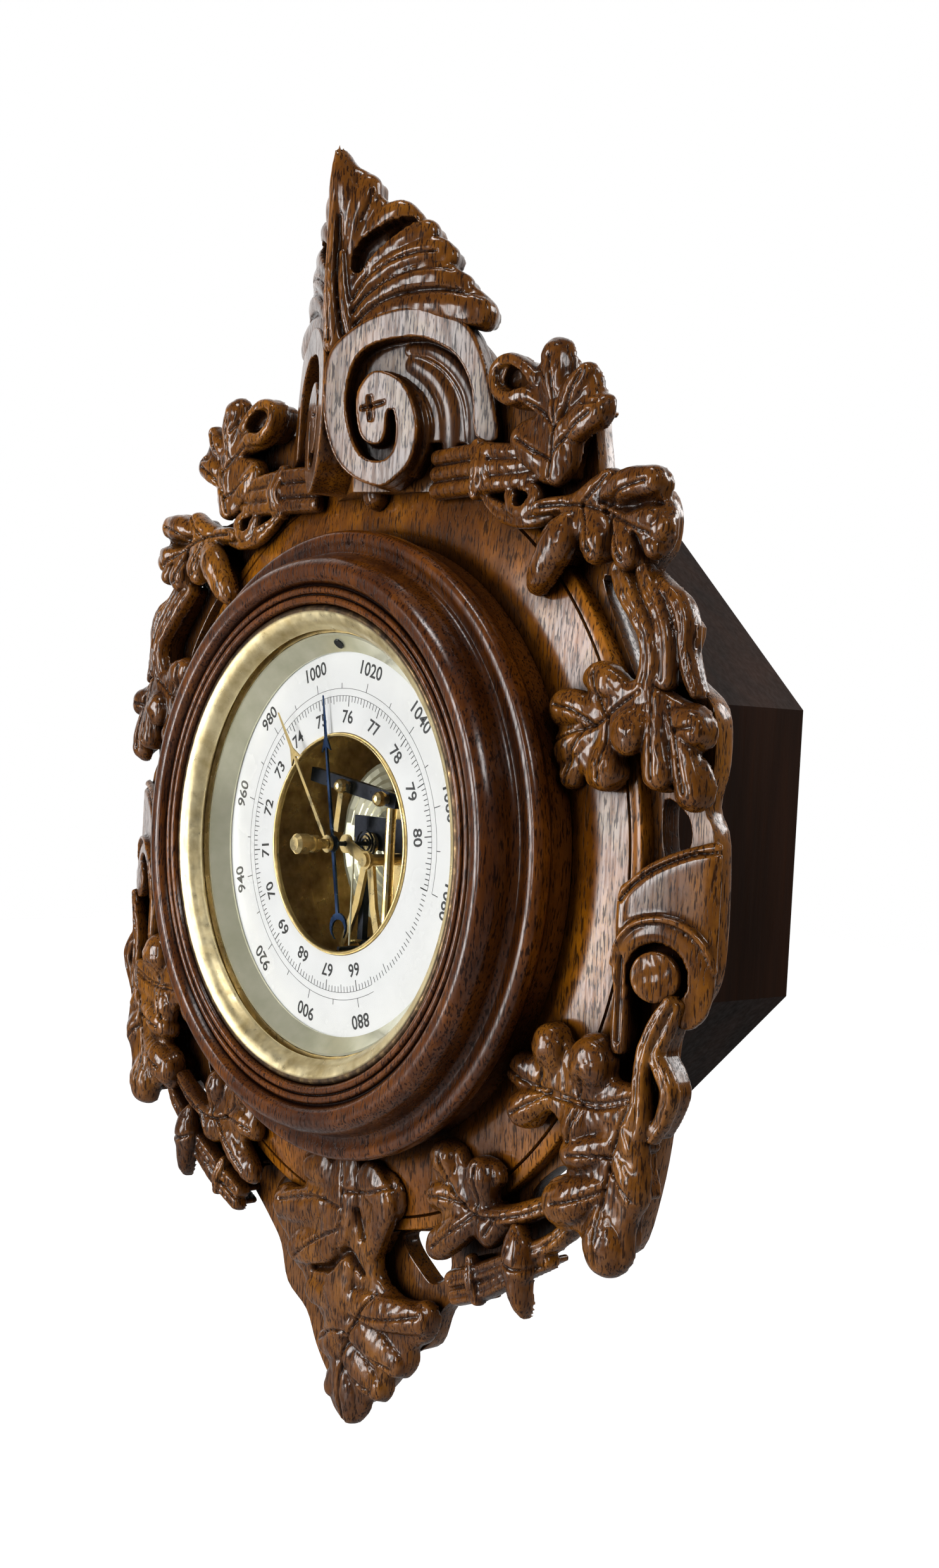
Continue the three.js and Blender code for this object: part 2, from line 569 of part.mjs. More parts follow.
const slope = Math.atan2(reflector.outer - reflector.inner, reflectorBack - reflector.front);
const screwMid = { r: (reflector.inner + reflector.outer) / 2, y: (reflectorBack + reflector.front) / 2 };
const screwOut = fit + reflectorScrew.height / 2;
piece("reflector_screw",
  new THREE.CylinderGeometry(reflectorScrew.radius, reflectorScrew.radius, reflectorScrew.height, tinySteps)
    .rotateX(Math.PI / 2 - slope)
    .translate(0, screwMid.y - screwOut * Math.sin(slope), screwMid.r - screwOut * Math.cos(slope)),
  steel);

piece("dial", turned([
  [dial.opening, dial.thickness], [dial.opening, 0], [dial.radius, 0], [dial.radius, dial.thickness],
]), enamel);
piece("dial_rim", turned([
  [rim.inner, dial.thickness], [rim.inner, -fit - rim.rise], [rim.flange, -fit - rim.rise / 2],
  [rim.flange, -fit], [dial.opening - fit, -fit], [dial.opening - fit, dial.thickness],
]), brass);

// Movement: base plate, capsule, bridge and bar
const plateBack = drum.back - drum.wall - fit;
const plateFront = plateBack - plateSize.thickness;
const plateBlank = post(plateSize.radius, plateFront, plateBack, 0, 0, roundSteps);
const notches = [-1, 1].map((side) =>
  post(plateSize.notch, plateFront - overrun, plateBack + overrun, side * plateSize.radius, 0, smallSteps));
const adjusterHole = post(adjuster.radius + fit, plateFront - overrun, plateBack + overrun, 0, access.z);
piece("movement_plate", cut(plateBlank, ...notches, adjusterHole), brass);

const capsuleProfile = [
  [0, plateFront - fit], [capsule.boss, plateFront - fit], [capsule.boss, capsule.back],
  [capsule.radius, capsule.back], [capsule.radius, capsule.front],
];
const waveSpan = capsule.radius - capsule.rimWidth - capsule.boss;
for (let i = 0; i <= 2 * capsule.waves; i++) {
  const r = capsule.radius - capsule.rimWidth - (i / (2 * capsule.waves)) * waveSpan;
  capsuleProfile.push([r, capsule.front + (i % 2) * capsule.waveDepth]);
}
capsuleProfile.push([0, capsule.front]);
piece("capsule", turned(capsuleProfile, capsuleSteps), silver);

const studBack = capsule.front - fit;
piece("capsule_stud", joined(
  post(stud.flange, studBack - stud.flangeHeight, studBack),
  post(stud.radius, stud.front, studBack),
), brass);

const bridgeBack = bridge.front + bridge.thickness;
const bridgeLegs = [];
for (const z of [-bridge.halfHeight, bridge.halfHeight]) {
  for (const x of [bridge.inner + bridge.legRadius, bridge.outer - bridge.legRadius]) {
    bridgeLegs.push(post(bridge.legRadius, bridge.front + fit, plateFront - fit, x, z));
  }
}
const bridgeReach = bridge.halfHeight + bridge.legRadius;
piece("bridge", joined(
  block(bridge.inner, bridge.outer, bridge.front, bridgeBack, -bridgeReach, bridgeReach),
  ...bridgeLegs,
), brass);

function onBar(geometry) {
  return geometry.rotateY(radians(bar.tilt)).translate(0, 0, bar.z);
}
const barBack = bar.front + bar.thickness;
const barSolid = joined(
  block(bar.left, bar.right, bar.front, barBack, -bar.height / 2, bar.height / 2),
  ...[bar.farPost, bar.nearPost].map((x) => post(bar.postRadius, barBack - fit, bridge.front - fit, x, 0)),
);
piece("crossbar", onBar(barSolid), steel);

const nutBack = bar.front - fit;
const ballMiddle = nutBack - ball.stemLength - ball.radius;
function ballNut() {
  const stem = post(ball.stemRadius, ballMiddle, nutBack);
  const head = new THREE.SphereGeometry(ball.radius, tinySteps, tinySteps / 2).translate(0, ballMiddle, 0);
  return joined(stem, head);
}
const linkHalf = link.width / 2;
const linkBlock = block(-linkHalf, linkHalf, ballMiddle, ballMiddle + link.width, -link.drop, 0);
piece("link_nut", onBar(joined(ballNut(), linkBlock).translate(link.at, 0, 0)), brass);
piece("bar_nut", onBar(ballNut().translate(bar.nearPost, 0, 0)), brass);

const rodTop = bar.z - bar.nearPost * Math.sin(radians(bar.tilt)) - bar.height / 2 - rod.topGap;
const rodY = (bar.front + barBack) / 2;
piece("frame_rod", joined(
  upright(rod.radius, rod.bottom, rodTop, rod.x, rodY),
  post(rod.footRadius, rodY - rod.radius, bridge.front - fit, rod.x, rod.bottom + rod.radius),
), brass);

// Main lever: turns on an upright pin by the bridge, rests on the capsule stud and reaches down to the shaft
const leverBack = lever.front + lever.thickness;
const leverMiddle = (lever.front + leverBack) / 2;
const armLeft = lever.armX - lever.armWidth / 2;
const armRight = lever.armX + lever.armWidth / 2;
const touchZ = shaft.z + shaft.shortArm;
piece("main_lever", joined(
  block(lever.end, lever.pivotX, lever.front, leverBack, lever.bottom, lever.top),
  upright(lever.pivotRadius, lever.bottom, lever.top, lever.pivotX, leverMiddle),
  block(armLeft, armRight, lever.front, leverBack, touchZ, 0),
), steel);

const chainX = -arbor.radius - fit - chain.radius;
piece("rocking_shaft", joined(
  across(shaft.radius, shaft.left, shaft.right, shaft.y, shaft.z),
  block(armLeft, armRight, leverBack + fit, shaft.y, shaft.z, touchZ + shaft.overlap),
  post(shaft.armRadius, shaft.y - shaft.longArm, shaft.y, chainX, shaft.z),
), steel);

// Arbor, chain, hairspring and the brackets that carry the arbor
const flangeBackY = arbor.flangeFront + arbor.flangeThickness;
const barrelMid = flangeBackY + arbor.flangeGap / 2;
piece("pointer_arbor", turned([
  [0, arbor.front], [arbor.radius, arbor.front], [arbor.radius, arbor.flangeFront],
  [arbor.flange, arbor.flangeFront], [arbor.flange, flangeBackY], [arbor.radius, flangeBackY],
  [arbor.radius, arbor.back], [0, arbor.back],
], tinySteps), steel);
const chainBottom = shaft.z + shaft.armRadius + fit;
const chainRun = upright(chain.radius, chainBottom, chain.top, chainX, barrelMid, chain.steps);
piece("chain", chainRun, silver);

const springSteps = spring.turns * tinySteps;
function coil(edge) {
  return Array.from({ length: springSteps + 1 }, (_, i) => {
    const share = i / springSteps;
    const angle = share * spring.turns * 2 * Math.PI;
    const r = spring.inner + share * (spring.outer - spring.inner) + edge;
    return [r * Math.cos(angle), r * Math.sin(angle)];
  });
}
const springShape = outline([...coil(0), ...coil(spring.thickness).reverse()]);
piece("hairspring", plate(springShape, spring.width).translate(0, spring.front + spring.width, 0), steel);

const cockBack = cock.front + cock.thickness;
const strap = outline([
  [0, cock.strapHalf], [cock.reach, cock.drop + cock.strapHalf], [cock.reach, cock.drop - cock.strapHalf],
  [0, -cock.strapHalf],
]);
const cockScrewFront = cock.front - cock.screwHeight;
const cockBody = joined(
  post(cock.eye, cock.front, cockBack, 0, 0, smallSteps),
  post(cock.eye, cock.front, cockBack, cock.reach, cock.drop, smallSteps),
  plate(strap, cock.thickness).translate(0, cockBack, 0),
  post(cock.screwRadius, cockScrewFront, cockBack, cock.reach, cock.drop),
  post(cock.postRadius, cock.front, bridge.front - fit, cock.reach, cock.drop),
);
piece("front_cock", cut(cockBody, post(cock.hole, cock.front - overrun, cockBack + overrun)), brass);

const frameBack = frameCock.front + frameCock.thickness;
const kneeShare = { x: 0.45, z: 0.6 };
function leg(x) {
  const w = frameCock.legWidth / 2;
  const kneeX = x * kneeShare.x;
  const kneeZ = shaft.z * kneeShare.z;
  const shape = outline([
    [-w, 0], [w, 0], [kneeX + w, kneeZ], [x + w, shaft.z], [x - w, shaft.z], [kneeX - w, kneeZ],
  ]);
  const foot = post(frameCock.postRadius, frameCock.front, plateFront - fit, x, shaft.z);
  return joined(plate(shape, frameCock.thickness).translate(0, frameBack, 0), foot);
}
const bracket = joined(
  post(frameCock.eye, frameCock.front, frameBack, 0, 0, smallSteps),
  leg(frameCock.leftX),
  leg(frameCock.rightX),
);
piece("arbor_bracket", cut(bracket, post(cock.hole, frameCock.front - overrun, frameBack + overrun)), brass);

// Hands: outlines point up and are turned to the reading
const handShares = [[0.5, 0.1], [0.35, 0.65], [1.9, 0.62], [0.35, 0.72], [0, 1]];
function handOutline(h) {
  return bothSides(handShares.map(([x, z]) => [x * h.width, z * h.tip]));
}
const handBack = hand.front + hand.thickness;
const arm = plate(outline([[0, 0], ...handOutline(hand)]), hand.thickness);
const tailEnd = 2 * hand.crescent - hand.tail - hand.width / 2;
const tail = block(-hand.width / 2, hand.width / 2, -hand.thickness, 0, tailEnd, 0);
const horns = new THREE.Shape();
horns.absarc(0, 0, hand.crescent, radians(hand.hornFrom), radians(hand.hornTo), false);
horns.absarc(0, -hand.width, hand.hornInner, radians(hand.hornTo), radians(hand.hornFrom), true);
const crescent = plate(horns, hand.thickness).translate(0, 0, -hand.tail + hand.crescent);
const hub = post(hand.hub, -hand.thickness, 0, 0, 0, smallSteps);
const arborHole = post(arbor.radius + fit, -hand.thickness - overrun, overrun);
const bored = cut(joined(arm, tail, crescent, hub), arborHole);
piece("pointer_hand", bored.rotateY(radians(hand.angle)).translate(0, handBack, 0), blued);

const setBack = setHand.front + setHand.thickness;
const setArm = plate(outline([[0, 0], ...handOutline(setHand)]), setHand.thickness);
const setHub = post(setHand.hub, -setHand.thickness, 0, 0, 0, smallSteps);
piece("set_hand", joined(setArm, setHub).rotateY(radians(setHand.angle)).translate(0, setBack, 0), brass);

piece("set_knob", turned([
  [0, knob.front], [knob.crown, knob.front], [knob.radius, knob.shoulder],
  [knob.radius, knob.back], [knob.neck, knob.back], [knob.neck, knob.collarFront],
  [knob.collar, knob.collarFront], [knob.collar, glassFront - fit], [knob.shank, glassFront - fit],
  [knob.shank, knob.shankBack], [0, knob.shankBack],
], smallSteps), brass);

const screwFront = drum.back - drum.wall;
piece("adjusting_screw", joined(
  post(adjuster.headRadius, screwFront, screwFront + adjuster.headHeight, 0, access.z, smallSteps),
  post(adjuster.radius, screwFront - adjuster.length, drum.back, 0, access.z),
), steel);

export default barometer;
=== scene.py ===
import math
import bpy
import numpy as np
from mathutils import Matrix, Vector


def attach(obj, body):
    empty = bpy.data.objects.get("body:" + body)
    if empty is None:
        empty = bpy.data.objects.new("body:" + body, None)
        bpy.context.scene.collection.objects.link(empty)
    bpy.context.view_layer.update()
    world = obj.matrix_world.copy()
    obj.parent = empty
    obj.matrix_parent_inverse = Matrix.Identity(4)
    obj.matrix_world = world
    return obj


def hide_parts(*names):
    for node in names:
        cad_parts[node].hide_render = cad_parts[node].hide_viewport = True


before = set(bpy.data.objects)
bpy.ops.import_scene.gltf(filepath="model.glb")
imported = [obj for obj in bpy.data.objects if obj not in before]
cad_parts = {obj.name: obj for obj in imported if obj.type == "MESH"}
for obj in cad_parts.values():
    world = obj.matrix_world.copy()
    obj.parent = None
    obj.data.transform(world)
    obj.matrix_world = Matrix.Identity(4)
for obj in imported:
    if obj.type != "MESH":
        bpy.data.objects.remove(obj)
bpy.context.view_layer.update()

# The photograph's viewpoint: close up, about an eighth of a turn to the right of the dial.
# It was fitted in millimetres from the middle of the dial's face, the origin of the lengths below.
DIAL_TO_WALL = 116.0
AZIMUTH, ELEVATION, ROLL = math.radians(49.273), math.radians(1.747), math.radians(3.084)
DISTANCE, ACROSS, UPWARD = 683.2, -50.870, -23.007
flat = math.cos(ELEVATION)
back = Vector((math.sin(AZIMUTH) * flat, -math.cos(AZIMUTH) * flat, math.sin(ELEVATION)))
level = Vector((math.cos(AZIMUTH), math.sin(AZIMUTH), 0))
upright = back.cross(level)
right = level * math.cos(ROLL) + upright * math.sin(ROLL)
up = upright * math.cos(ROLL) - level * math.sin(ROLL)
lens = bpy.data.cameras.new("photo_view")
lens.lens, lens.sensor_width, lens.clip_end = 40.70, 36, 20
camera = bpy.data.objects.new("photo_view", lens)
place = (back * DISTANCE - right * ACROSS - up * UPWARD) / 1000 - Vector((0, DIAL_TO_WALL / 1000, 0))
camera.matrix_world = Matrix.Translation(place) @ Matrix((right, up, back)).transposed().to_4x4()
bpy.context.collection.objects.link(camera)
bpy.context.scene.camera = camera

# Studio: a pale floor and white surroundings for the camera, metal and glass, with soft boxes around.
# Reflections and glass meet the white only behind the object and to its left: the wood keeps its depth.
def add(tree, kind, sockets=None, **settings):
    """A shader node with its sockets linked or set."""
    made = tree.nodes.new("ShaderNode" + kind)
    for key, value in settings.items():
        setattr(made, key, value)
    for key, value in (sockets or {}).items():
        if isinstance(value, bpy.types.NodeSocket):
            tree.links.new(value, made.inputs[key])
        else:
            made.inputs[key].default_value = value
    return made


def calc(tree, kind, first, second=0.0, **settings):
    return add(tree, "Math", {0: first, 1: second}, operation=kind, **settings).outputs[0]


scene = bpy.context.scene
scene.view_settings.view_transform = "Standard"
world = bpy.data.worlds.new("studio")
scene.world = world
world.use_nodes = True
tree = world.node_tree
ground = tree.nodes["Background"]
ground.inputs["Color"].default_value = (0.9, 0.92, 1, 1)
ground.inputs["Strength"].default_value = 0.1
white = add(tree, "Background", {"Color": (1, 1, 1, 1)})
rays = add(tree, "LightPath").outputs
towards = add(tree, "SeparateXYZ", {0: add(tree, "TexCoord").outputs["Generated"]}).outputs
behind = calc(tree, "SUBTRACT", towards["Y"], towards["X"])
lit_side = add(tree, "MapRange", {"Value": behind, "From Min": 0.45, "From Max": 0.95}).outputs["Result"]
seen = calc(tree, "ADD", rays["Is Glossy Ray"], rays["Is Transmission Ray"], use_clamp=True)
seen = calc(tree, "MULTIPLY", seen, lit_side, use_clamp=True)
seen = calc(tree, "ADD", seen, rays["Is Camera Ray"], use_clamp=True)
choice = add(tree, "MixShader", {0: seen, 1: ground.outputs["Background"], 2: white.outputs["Background"]})
tree.links.new(choice.outputs["Shader"], tree.nodes["World Output"].inputs["Surface"])

aim = Vector((0, -0.1, 0.02))
for name, spot, wide, tall, watts in (
    ("key_light", (-0.62, -1.25, 0.0), 0.42, 0.8, 13), ("front_light", (0.08, -1.35, 0.18), 0.18, 0.7, 5.5),
    ("side_light", (1.2, -0.55, 0.8), 0.3, 0.3, 4.5), ("top_light", (0.1, -0.55, 1.25), 0.4, 0.2, 4),
    ("rim_light", (0.6, 0.9, 0.7), 0.5, 0.5, 8)):
    lamp = bpy.data.lights.new(name, "AREA")
    lamp.shape, lamp.size, lamp.size_y, lamp.energy = "RECTANGLE", wide, tall, watts
    holder = bpy.data.objects.new(name, lamp)
    holder.location = spot
    holder.rotation_euler = (aim - Vector(spot)).to_track_quat("-Z", "Y").to_euler()
    bpy.context.collection.objects.link(holder)

FLOOR_SIZE, FLOOR_HEIGHT = 3, -0.42
floor_mesh = bpy.data.meshes.new("floor")
floor_corners = [
    (x * FLOOR_SIZE, y * FLOOR_SIZE, FLOOR_HEIGHT) for x, y in ((-1, -1), (1, -1), (1, 1), (-1, 1))]
floor_mesh.from_pydata(floor_corners, [], [range(4)])
floor = bpy.data.objects.new("floor", floor_mesh)
floor_paint = bpy.data.materials.new("floor_paint")
floor_paint.use_nodes = True
tree = floor_paint.node_tree
paint = tree.nodes["Principled BSDF"]
paint.inputs["Base Color"].default_value = (0.4, 0.4, 0.4, 1)
paint.inputs["Emission Color"].default_value = (1, 1, 1, 1)
glow = calc(tree, "MULTIPLY", add(tree, "LightPath").outputs["Is Camera Ray"], 0.88)
tree.links.new(glow, paint.inputs["Emission Strength"])
floor_mesh.materials.append(floor_paint)
bpy.context.collection.objects.link(floor)

# Carved board: stained oak under old shellac, a turned and dished disc glued on a pierced backing.
# The disc was turned on a lathe; the backing was fret-sawn to follow the carving.
def noise(tree, stretch, detail=4.0, offset=0.0):
    """A soft noise fixed to the object; stretch is one frequency or three."""
    placed = add(tree, "Mapping", {
        "Vector": add(tree, "TexCoord").outputs["Object"], "Scale": tuple(np.ones(3) * stretch),
        "Location": (offset, offset, offset)})
    return add(tree, "TexNoise", {
        "Vector": placed.outputs["Vector"], "Scale": 1.0, "Detail": detail, "Roughness": 0.6}).outputs["Fac"]


def ramp(tree, value, *stops):
    made = add(tree, "ValToRGB", {"Fac": value})
    marks = made.color_ramp.elements
    while len(marks) < len(stops):
        marks.new(0.5)
    for mark, (at, shade) in zip(marks, stops):
        mark.position = at
        mark.color = (shade, shade, shade, 1) if isinstance(shade, (int, float)) else (*shade, 1)
    return made.outputs["Color"]


def blended(tree, factor, first, second, kind="MIX"):
    made = add(tree, "Mix", data_type="RGBA", blend_type=kind)
    for spot, value in ((0, factor), (6, first), (7, second)):
        if isinstance(value, bpy.types.NodeSocket):
            tree.links.new(value, made.inputs[spot])
        else:
            made.inputs[spot].default_value = value if spot == 0 else (*value, 1)
    return made.outputs[2]


def gathered(tree, **values):
    """Give the group an output for each value."""
    end = tree.nodes.new("NodeGroupOutput")
    for key, value in values.items():
        label = key.replace("_", " ")
        kind = "NodeSocketColor" if label == "Color" else "NodeSocketFloat"
        tree.interface.new_socket(label, in_out="OUTPUT", socket_type=kind)
        tree.links.new(value, end.inputs[label])


# The oak's colour: stain, fibres, pores and mottling, lighter on worn edges, with painted shade in creases
# and recesses.
grain = bpy.data.node_groups.new("oak_grain", "ShaderNodeTree")
figure = noise(grain, (30, 30, 12), 6)
fibre = noise(grain, (800, 800, 60), 4, 4)
pores = ramp(grain, noise(grain, (1300, 1300, 170), 2, 9), (0.53, 0.0), (0.61, 1.0))
smudge = ramp(grain, noise(grain, (150, 150, 110), 5, 6), (0.42, 0.0), (0.62, 1.0))
# Creases, found from the pointiness of the mesh, are darkened in the colour below: painted shade.
bent = add(grain, "NewGeometry").outputs["Pointiness"]
hollow = ramp(grain, bent, (0.44, 1.0), (0.497, 0.0))
proud = ramp(grain, bent, (0.51, 0.0), (0.57, 1.0))
# Ambient occlusion darkens recesses in the colour below: painted shade. The coat is thinned there too.
shaded = add(grain, "AmbientOcclusion", {"Distance": 0.013}, samples=6).outputs["AO"]
recess_shade = ramp(grain, shaded, (0.4, 1.0), (0.97, 0.0))
stain = ramp(
    grain, figure, (0.32, (0.06, 0.02, 0.003)), (0.5, (0.165, 0.055, 0.004)), (0.68, (0.36, 0.132, 0.009)))
# The crease and recess blends at the end of this list paint shade into the wood's colour.
for mask, share, tone in (
    (fibre, 0.5, (0.06, 0.016, 0.004)), (smudge, 0.5, (0.05, 0.014, 0.003)),
    (proud, 0.45, (0.45, 0.17, 0.03)), (pores, 0.85, (0.012, 0.005, 0.003)),
    (hollow, 0.9, (0.008, 0.003, 0.002)), (recess_shade, 0.93, (0.008, 0.003, 0.002))):
    stain = blended(grain, calc(grain, "MULTIPLY", mask, share), stain, tone)
streaks = calc(grain, "MULTIPLY", ramp(grain, fibre, (0.45, 0.0), (0.62, 1.0)), 0.55)
worn = calc(grain, "MAXIMUM", streaks, calc(grain, "MULTIPLY", pores, 0.7))
shellac = calc(grain, "MULTIPLY", calc(grain, "SUBTRACT", 1.0, recess_shade), calc(grain, "SUBTRACT", 0.95, worn))
gathered(
    grain, Color=stain, Roughness=ramp(grain, noise(grain, (60, 60, 20), 4, 2), (0.3, 0.2), (0.7, 0.32)),
    Coat_Weight=shellac, Height=calc(grain, "SUBTRACT", calc(grain, "MULTIPLY", fibre, 0.4), pores))


def finish(name, group, bump=0.0, tint=None, **constants):
    """A Principled material driven by the outputs that the group has."""
    made = bpy.data.materials.new(name)
    made.use_nodes = True
    tree = made.node_tree
    shader = tree.nodes["Principled BSDF"]
    for label, value in constants.items():
        shader.inputs[label.replace("_", " ")].default_value = value
    held = tree.nodes.new("ShaderNodeGroup")
    held.node_tree = group
    for outlet in held.outputs:
        if outlet.name == "Color":
            tone = blended(tree, 1.0, outlet, tint, "MULTIPLY") if tint else outlet
            tree.links.new(tone, shader.inputs["Base Color"])
        elif outlet.name == "Height":
            pushed = add(tree, "Bump", {"Strength": bump, "Distance": 0.0002, "Height": outlet})
            tree.links.new(pushed.outputs["Normal"], shader.inputs["Normal"])
        else:
            tree.links.new(outlet, shader.inputs[outlet.name])
    return made


oak = finish("stained_oak", grain, 0.5, Specular_IOR_Level=0.06, Coat_Roughness=0.13)


def made_piece(name, mesh, material, body, node, sharp=None):
    """A finished piece on its body, standing in for its CAD node."""
    mesh.polygons.foreach_set("use_smooth", np.ones(len(mesh.polygons), dtype=bool))
    if sharp:
        mesh.set_sharp_from_angle(angle=math.radians(sharp))
    piece = bpy.data.objects.new(name, mesh)
    mesh.materials.append(material)
    bpy.context.collection.objects.link(piece)
    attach(piece, body)
    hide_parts(*([node] if isinstance(node, str) else node))


def from_dial(points):
    """Millimetres from the middle of the dial's face to metres from the wall."""
    moved = np.array(points, dtype=float)
    moved[:, 1] -= DIAL_TO_WALL
    return moved / 1000


def built(name, points, faces):
    mesh = bpy.data.meshes.new(name)
    mesh.from_pydata(from_dial(points).tolist(), [], [list(map(int, face)) for face in faces])
    mesh.validate()
    return mesh


def lathed(name, profile, steps):
    """A closed profile of radius and depth, turned about the dial's axis."""
    loop = np.array(profile, dtype=float)
    nxt = np.roll(loop, -1, axis=0)
    if np.sum(loop[:, 0] * nxt[:, 1] - nxt[:, 0] * loop[:, 1]) < 0:
        loop = loop[::-1]
    turn = np.arange(steps) * 2 * math.pi / steps
    rows = len(loop)
    points = np.stack([
        np.outer(np.cos(turn), loop[:, 0]), np.tile(loop[:, 1], (steps, 1)),
        np.outer(np.sin(turn), loop[:, 0])], axis=-1).reshape(-1, 3)
    faces = []
    for here in range(steps):
        there = (here + 1) % steps
        for j in range(rows):
            k = (j + 1) % rows
            faces.append((here * rows + j, here * rows + k, there * rows + k, there * rows + j))
    return built(name, points, faces)


def turned(name, profile, material, node, sharp, steps=256):
    made_piece(name, lathed(name, profile, steps), material, "case", node, sharp)


def ring_of(radius, count, height=0.0):
    """Points round a circle, from its right end."""
    turn = np.linspace(0, 2 * math.pi, count, endpoint=False)
    return [(radius * math.cos(a), height + radius * math.sin(a)) for a in turn]


def curve_through(points, per, closed=False):
    """A smooth line through the points; every column is carried along."""
    rows = np.array(points, dtype=float)
    if closed:
        ends = np.vstack([rows[-1:], rows, rows[:2]])
    else:
        ends = np.vstack([2 * rows[:1] - rows[1:2], rows, 2 * rows[-1:] - rows[-2:-1]])
    t = (np.arange(per) / per)[:, None]
    parts = []
    for a, b, c, d in zip(ends[:-3], ends[1:-2], ends[2:-1], ends[3:]):
        parts.append(b + 0.5 * t * (c - a + t * (2 * a - 5 * b + 4 * c - d + t * (3 * (b - c) + d - a))))
    if not closed:
        parts.append(rows[-1:])
    return np.vstack(parts)


def fretted(name, outline, holes, front, back, bevel=0.4):
    """A flat board between two depths, with holes, cut along smooth outlines."""
    curve = bpy.data.curves.new(name, "CURVE")
    curve.dimensions, curve.fill_mode = "2D", "BOTH"
    curve.extrude = (back - front) / 2000 - bevel / 1000
    curve.bevel_depth, curve.bevel_resolution, curve.offset = bevel / 1000, 1, -bevel / 1000
    for loop in [outline, *holes]:
        line = curve.splines.new("POLY")
        line.points.add(len(loop) - 1)
        for point, (x, z) in zip(line.points, loop):
            point.co = (x / 1000, z / 1000, 0, 1)
        line.use_cyclic_u = True
    holder = bpy.data.objects.new(name, curve)
    mesh = bpy.data.meshes.new_from_object(holder)
    bpy.data.objects.remove(holder)
    middle = ((front + back) / 2 - DIAL_TO_WALL) / 1000
    mesh.transform(Matrix.Translation((0, middle, 0)) @ Matrix.Rotation(math.radians(90), 4, "X"))
    return mesh


edge = [
    (0, 210), (22, 204), (44, 188), (60, 172), (72, 166), (90, 176), (106, 166), (110, 148), (116, 132),
    (138, 131), (145, 122), (144, 110), (138, 102), (148, 90), (158, 84), (156, 70), (170, 58), (172, 40),
    (169, 26), (174, 14), (175, -20), (172, -34), (164, -43), (158, -52), (157, -80), (153, -104),
    (146, -124), (134, -126), (120, -116), (112, -126), (105, -133), (96, -140), (76, -152), (60, -164),
    (52, -172), (46, -186), (32, -194), (24, -206), (14, -216), (0, -224)]
windows = [
    [(117, 100), (126, 98), (138, 84), (145, 72), (146, 62), (140, 60), (130, 76)],
    [(151.2, 27), (162, 22), (163, 12), (153, 8)],
    [(100, -113), (110, -104), (115, -103), (111, -112), (104, -120), (98, -120)],
    [(30, -147), (48, -142.4), (56, -148), (56, -156), (47, -162), (38, -158), (30, -152)]]
rim = edge + [(-x, z) for x, z in reversed(edge[1:-1])]
holes = [[(side * x, z) for x, z in hole] for hole in windows for side in (1, -1)]
smooth = [curve_through(hole, 4, True) for hole in holes]
backing = fretted("backing", curve_through(rim, 4, True), [*smooth, ring_of(146, 160)], 20, 28)
made_piece("board_backing", backing, oak, "case", "surround_board", 35)


def disc_face(r):
    """Depth of the disc: a hollow at the foot of the ring, then a slow fall to the edge."""
    return 11 + 0.135 * (r - 122) + 1.6 * np.exp(-(r - 120) / 3)


dish = [(r, disc_face(r)) for r in np.linspace(120.01, 142.4, 24)]
groove = [(r, disc_face(r) + cut) for r, cut in ((143, 1), (143.6, 0), (147.2, 0), (147.8, 0.4))]
disc_profile = [(82.4, 28), (82.4, 12), (108, 12), *dish, *groove, (148, 15.4), (148, 28)]
# The disc's copy of the oak is more amber, and lighter all over as painted light standing in for the brighter
# light on the disc.
disc_oak_amber_painted_light = finish("disc_oak_amber_painted_light", grain, 0.4, tint=(1.6, 1.5, 0.6), Specular_IOR_Level=0.06, Coat_Roughness=0.15)
turned("board_disc", disc_profile, disc_oak_amber_painted_light, "surround_board", 35)

# Turned ring: oak, turned with two small beads, a big torus, a cove and a rim bead.
# It is glued over the opening of the disc and holds the brass case in a rebate.
torus = curve_through([
    (99.4, -18.6), (101, -19.9), (104.6, -20.2), (107, -18.9), (108.9, -15.9), (109.6, -12.2), (110.1, -8.6),
    (111.4, -6.7), (113.6, -6.5), (116, -7), (118.6, -6.5), (119.9, -4.4), (119.9, -1), (118.9, 0.9)], 5)
bead = [(1.6 * math.cos(a), -1.6 * math.sin(a)) for a in np.linspace(math.pi, 0, 9)]
ring_profile = [(82.4, 11.7), (82.4, -5.9), (91, -5.9), (91, -16.2)]
for middle in (92.7, 96.2):
    ring_profile += [(middle + x, -16.3 + y) for x, y in bead]
ring_profile += [(98.2, -16.2), (98.9, -17.4), *torus, (118, 1.4), (117.6, 3), (117.6, 11.7)]
ring_oak = finish("ring_oak", grain, 0.3, tint=(0.72, 0.58, 0.5), Specular_IOR_Level=0.06, Coat_Roughness=0.2)
turned("turned_ring", ring_profile, ring_oak, "turned_ring", 50)

# Crest leaf: oak, carved as two halves of a palm leaf that meet in a keel.
# Each half is laid out flat and turned back from the keel; its back sits on the scrolls.
BOTH = (False, True)
RING_EDGE, DISC_EDGE, BACKING_FACE = 120.3, 148.3, 19.7  # with 0.3 mm to spare for the carvings


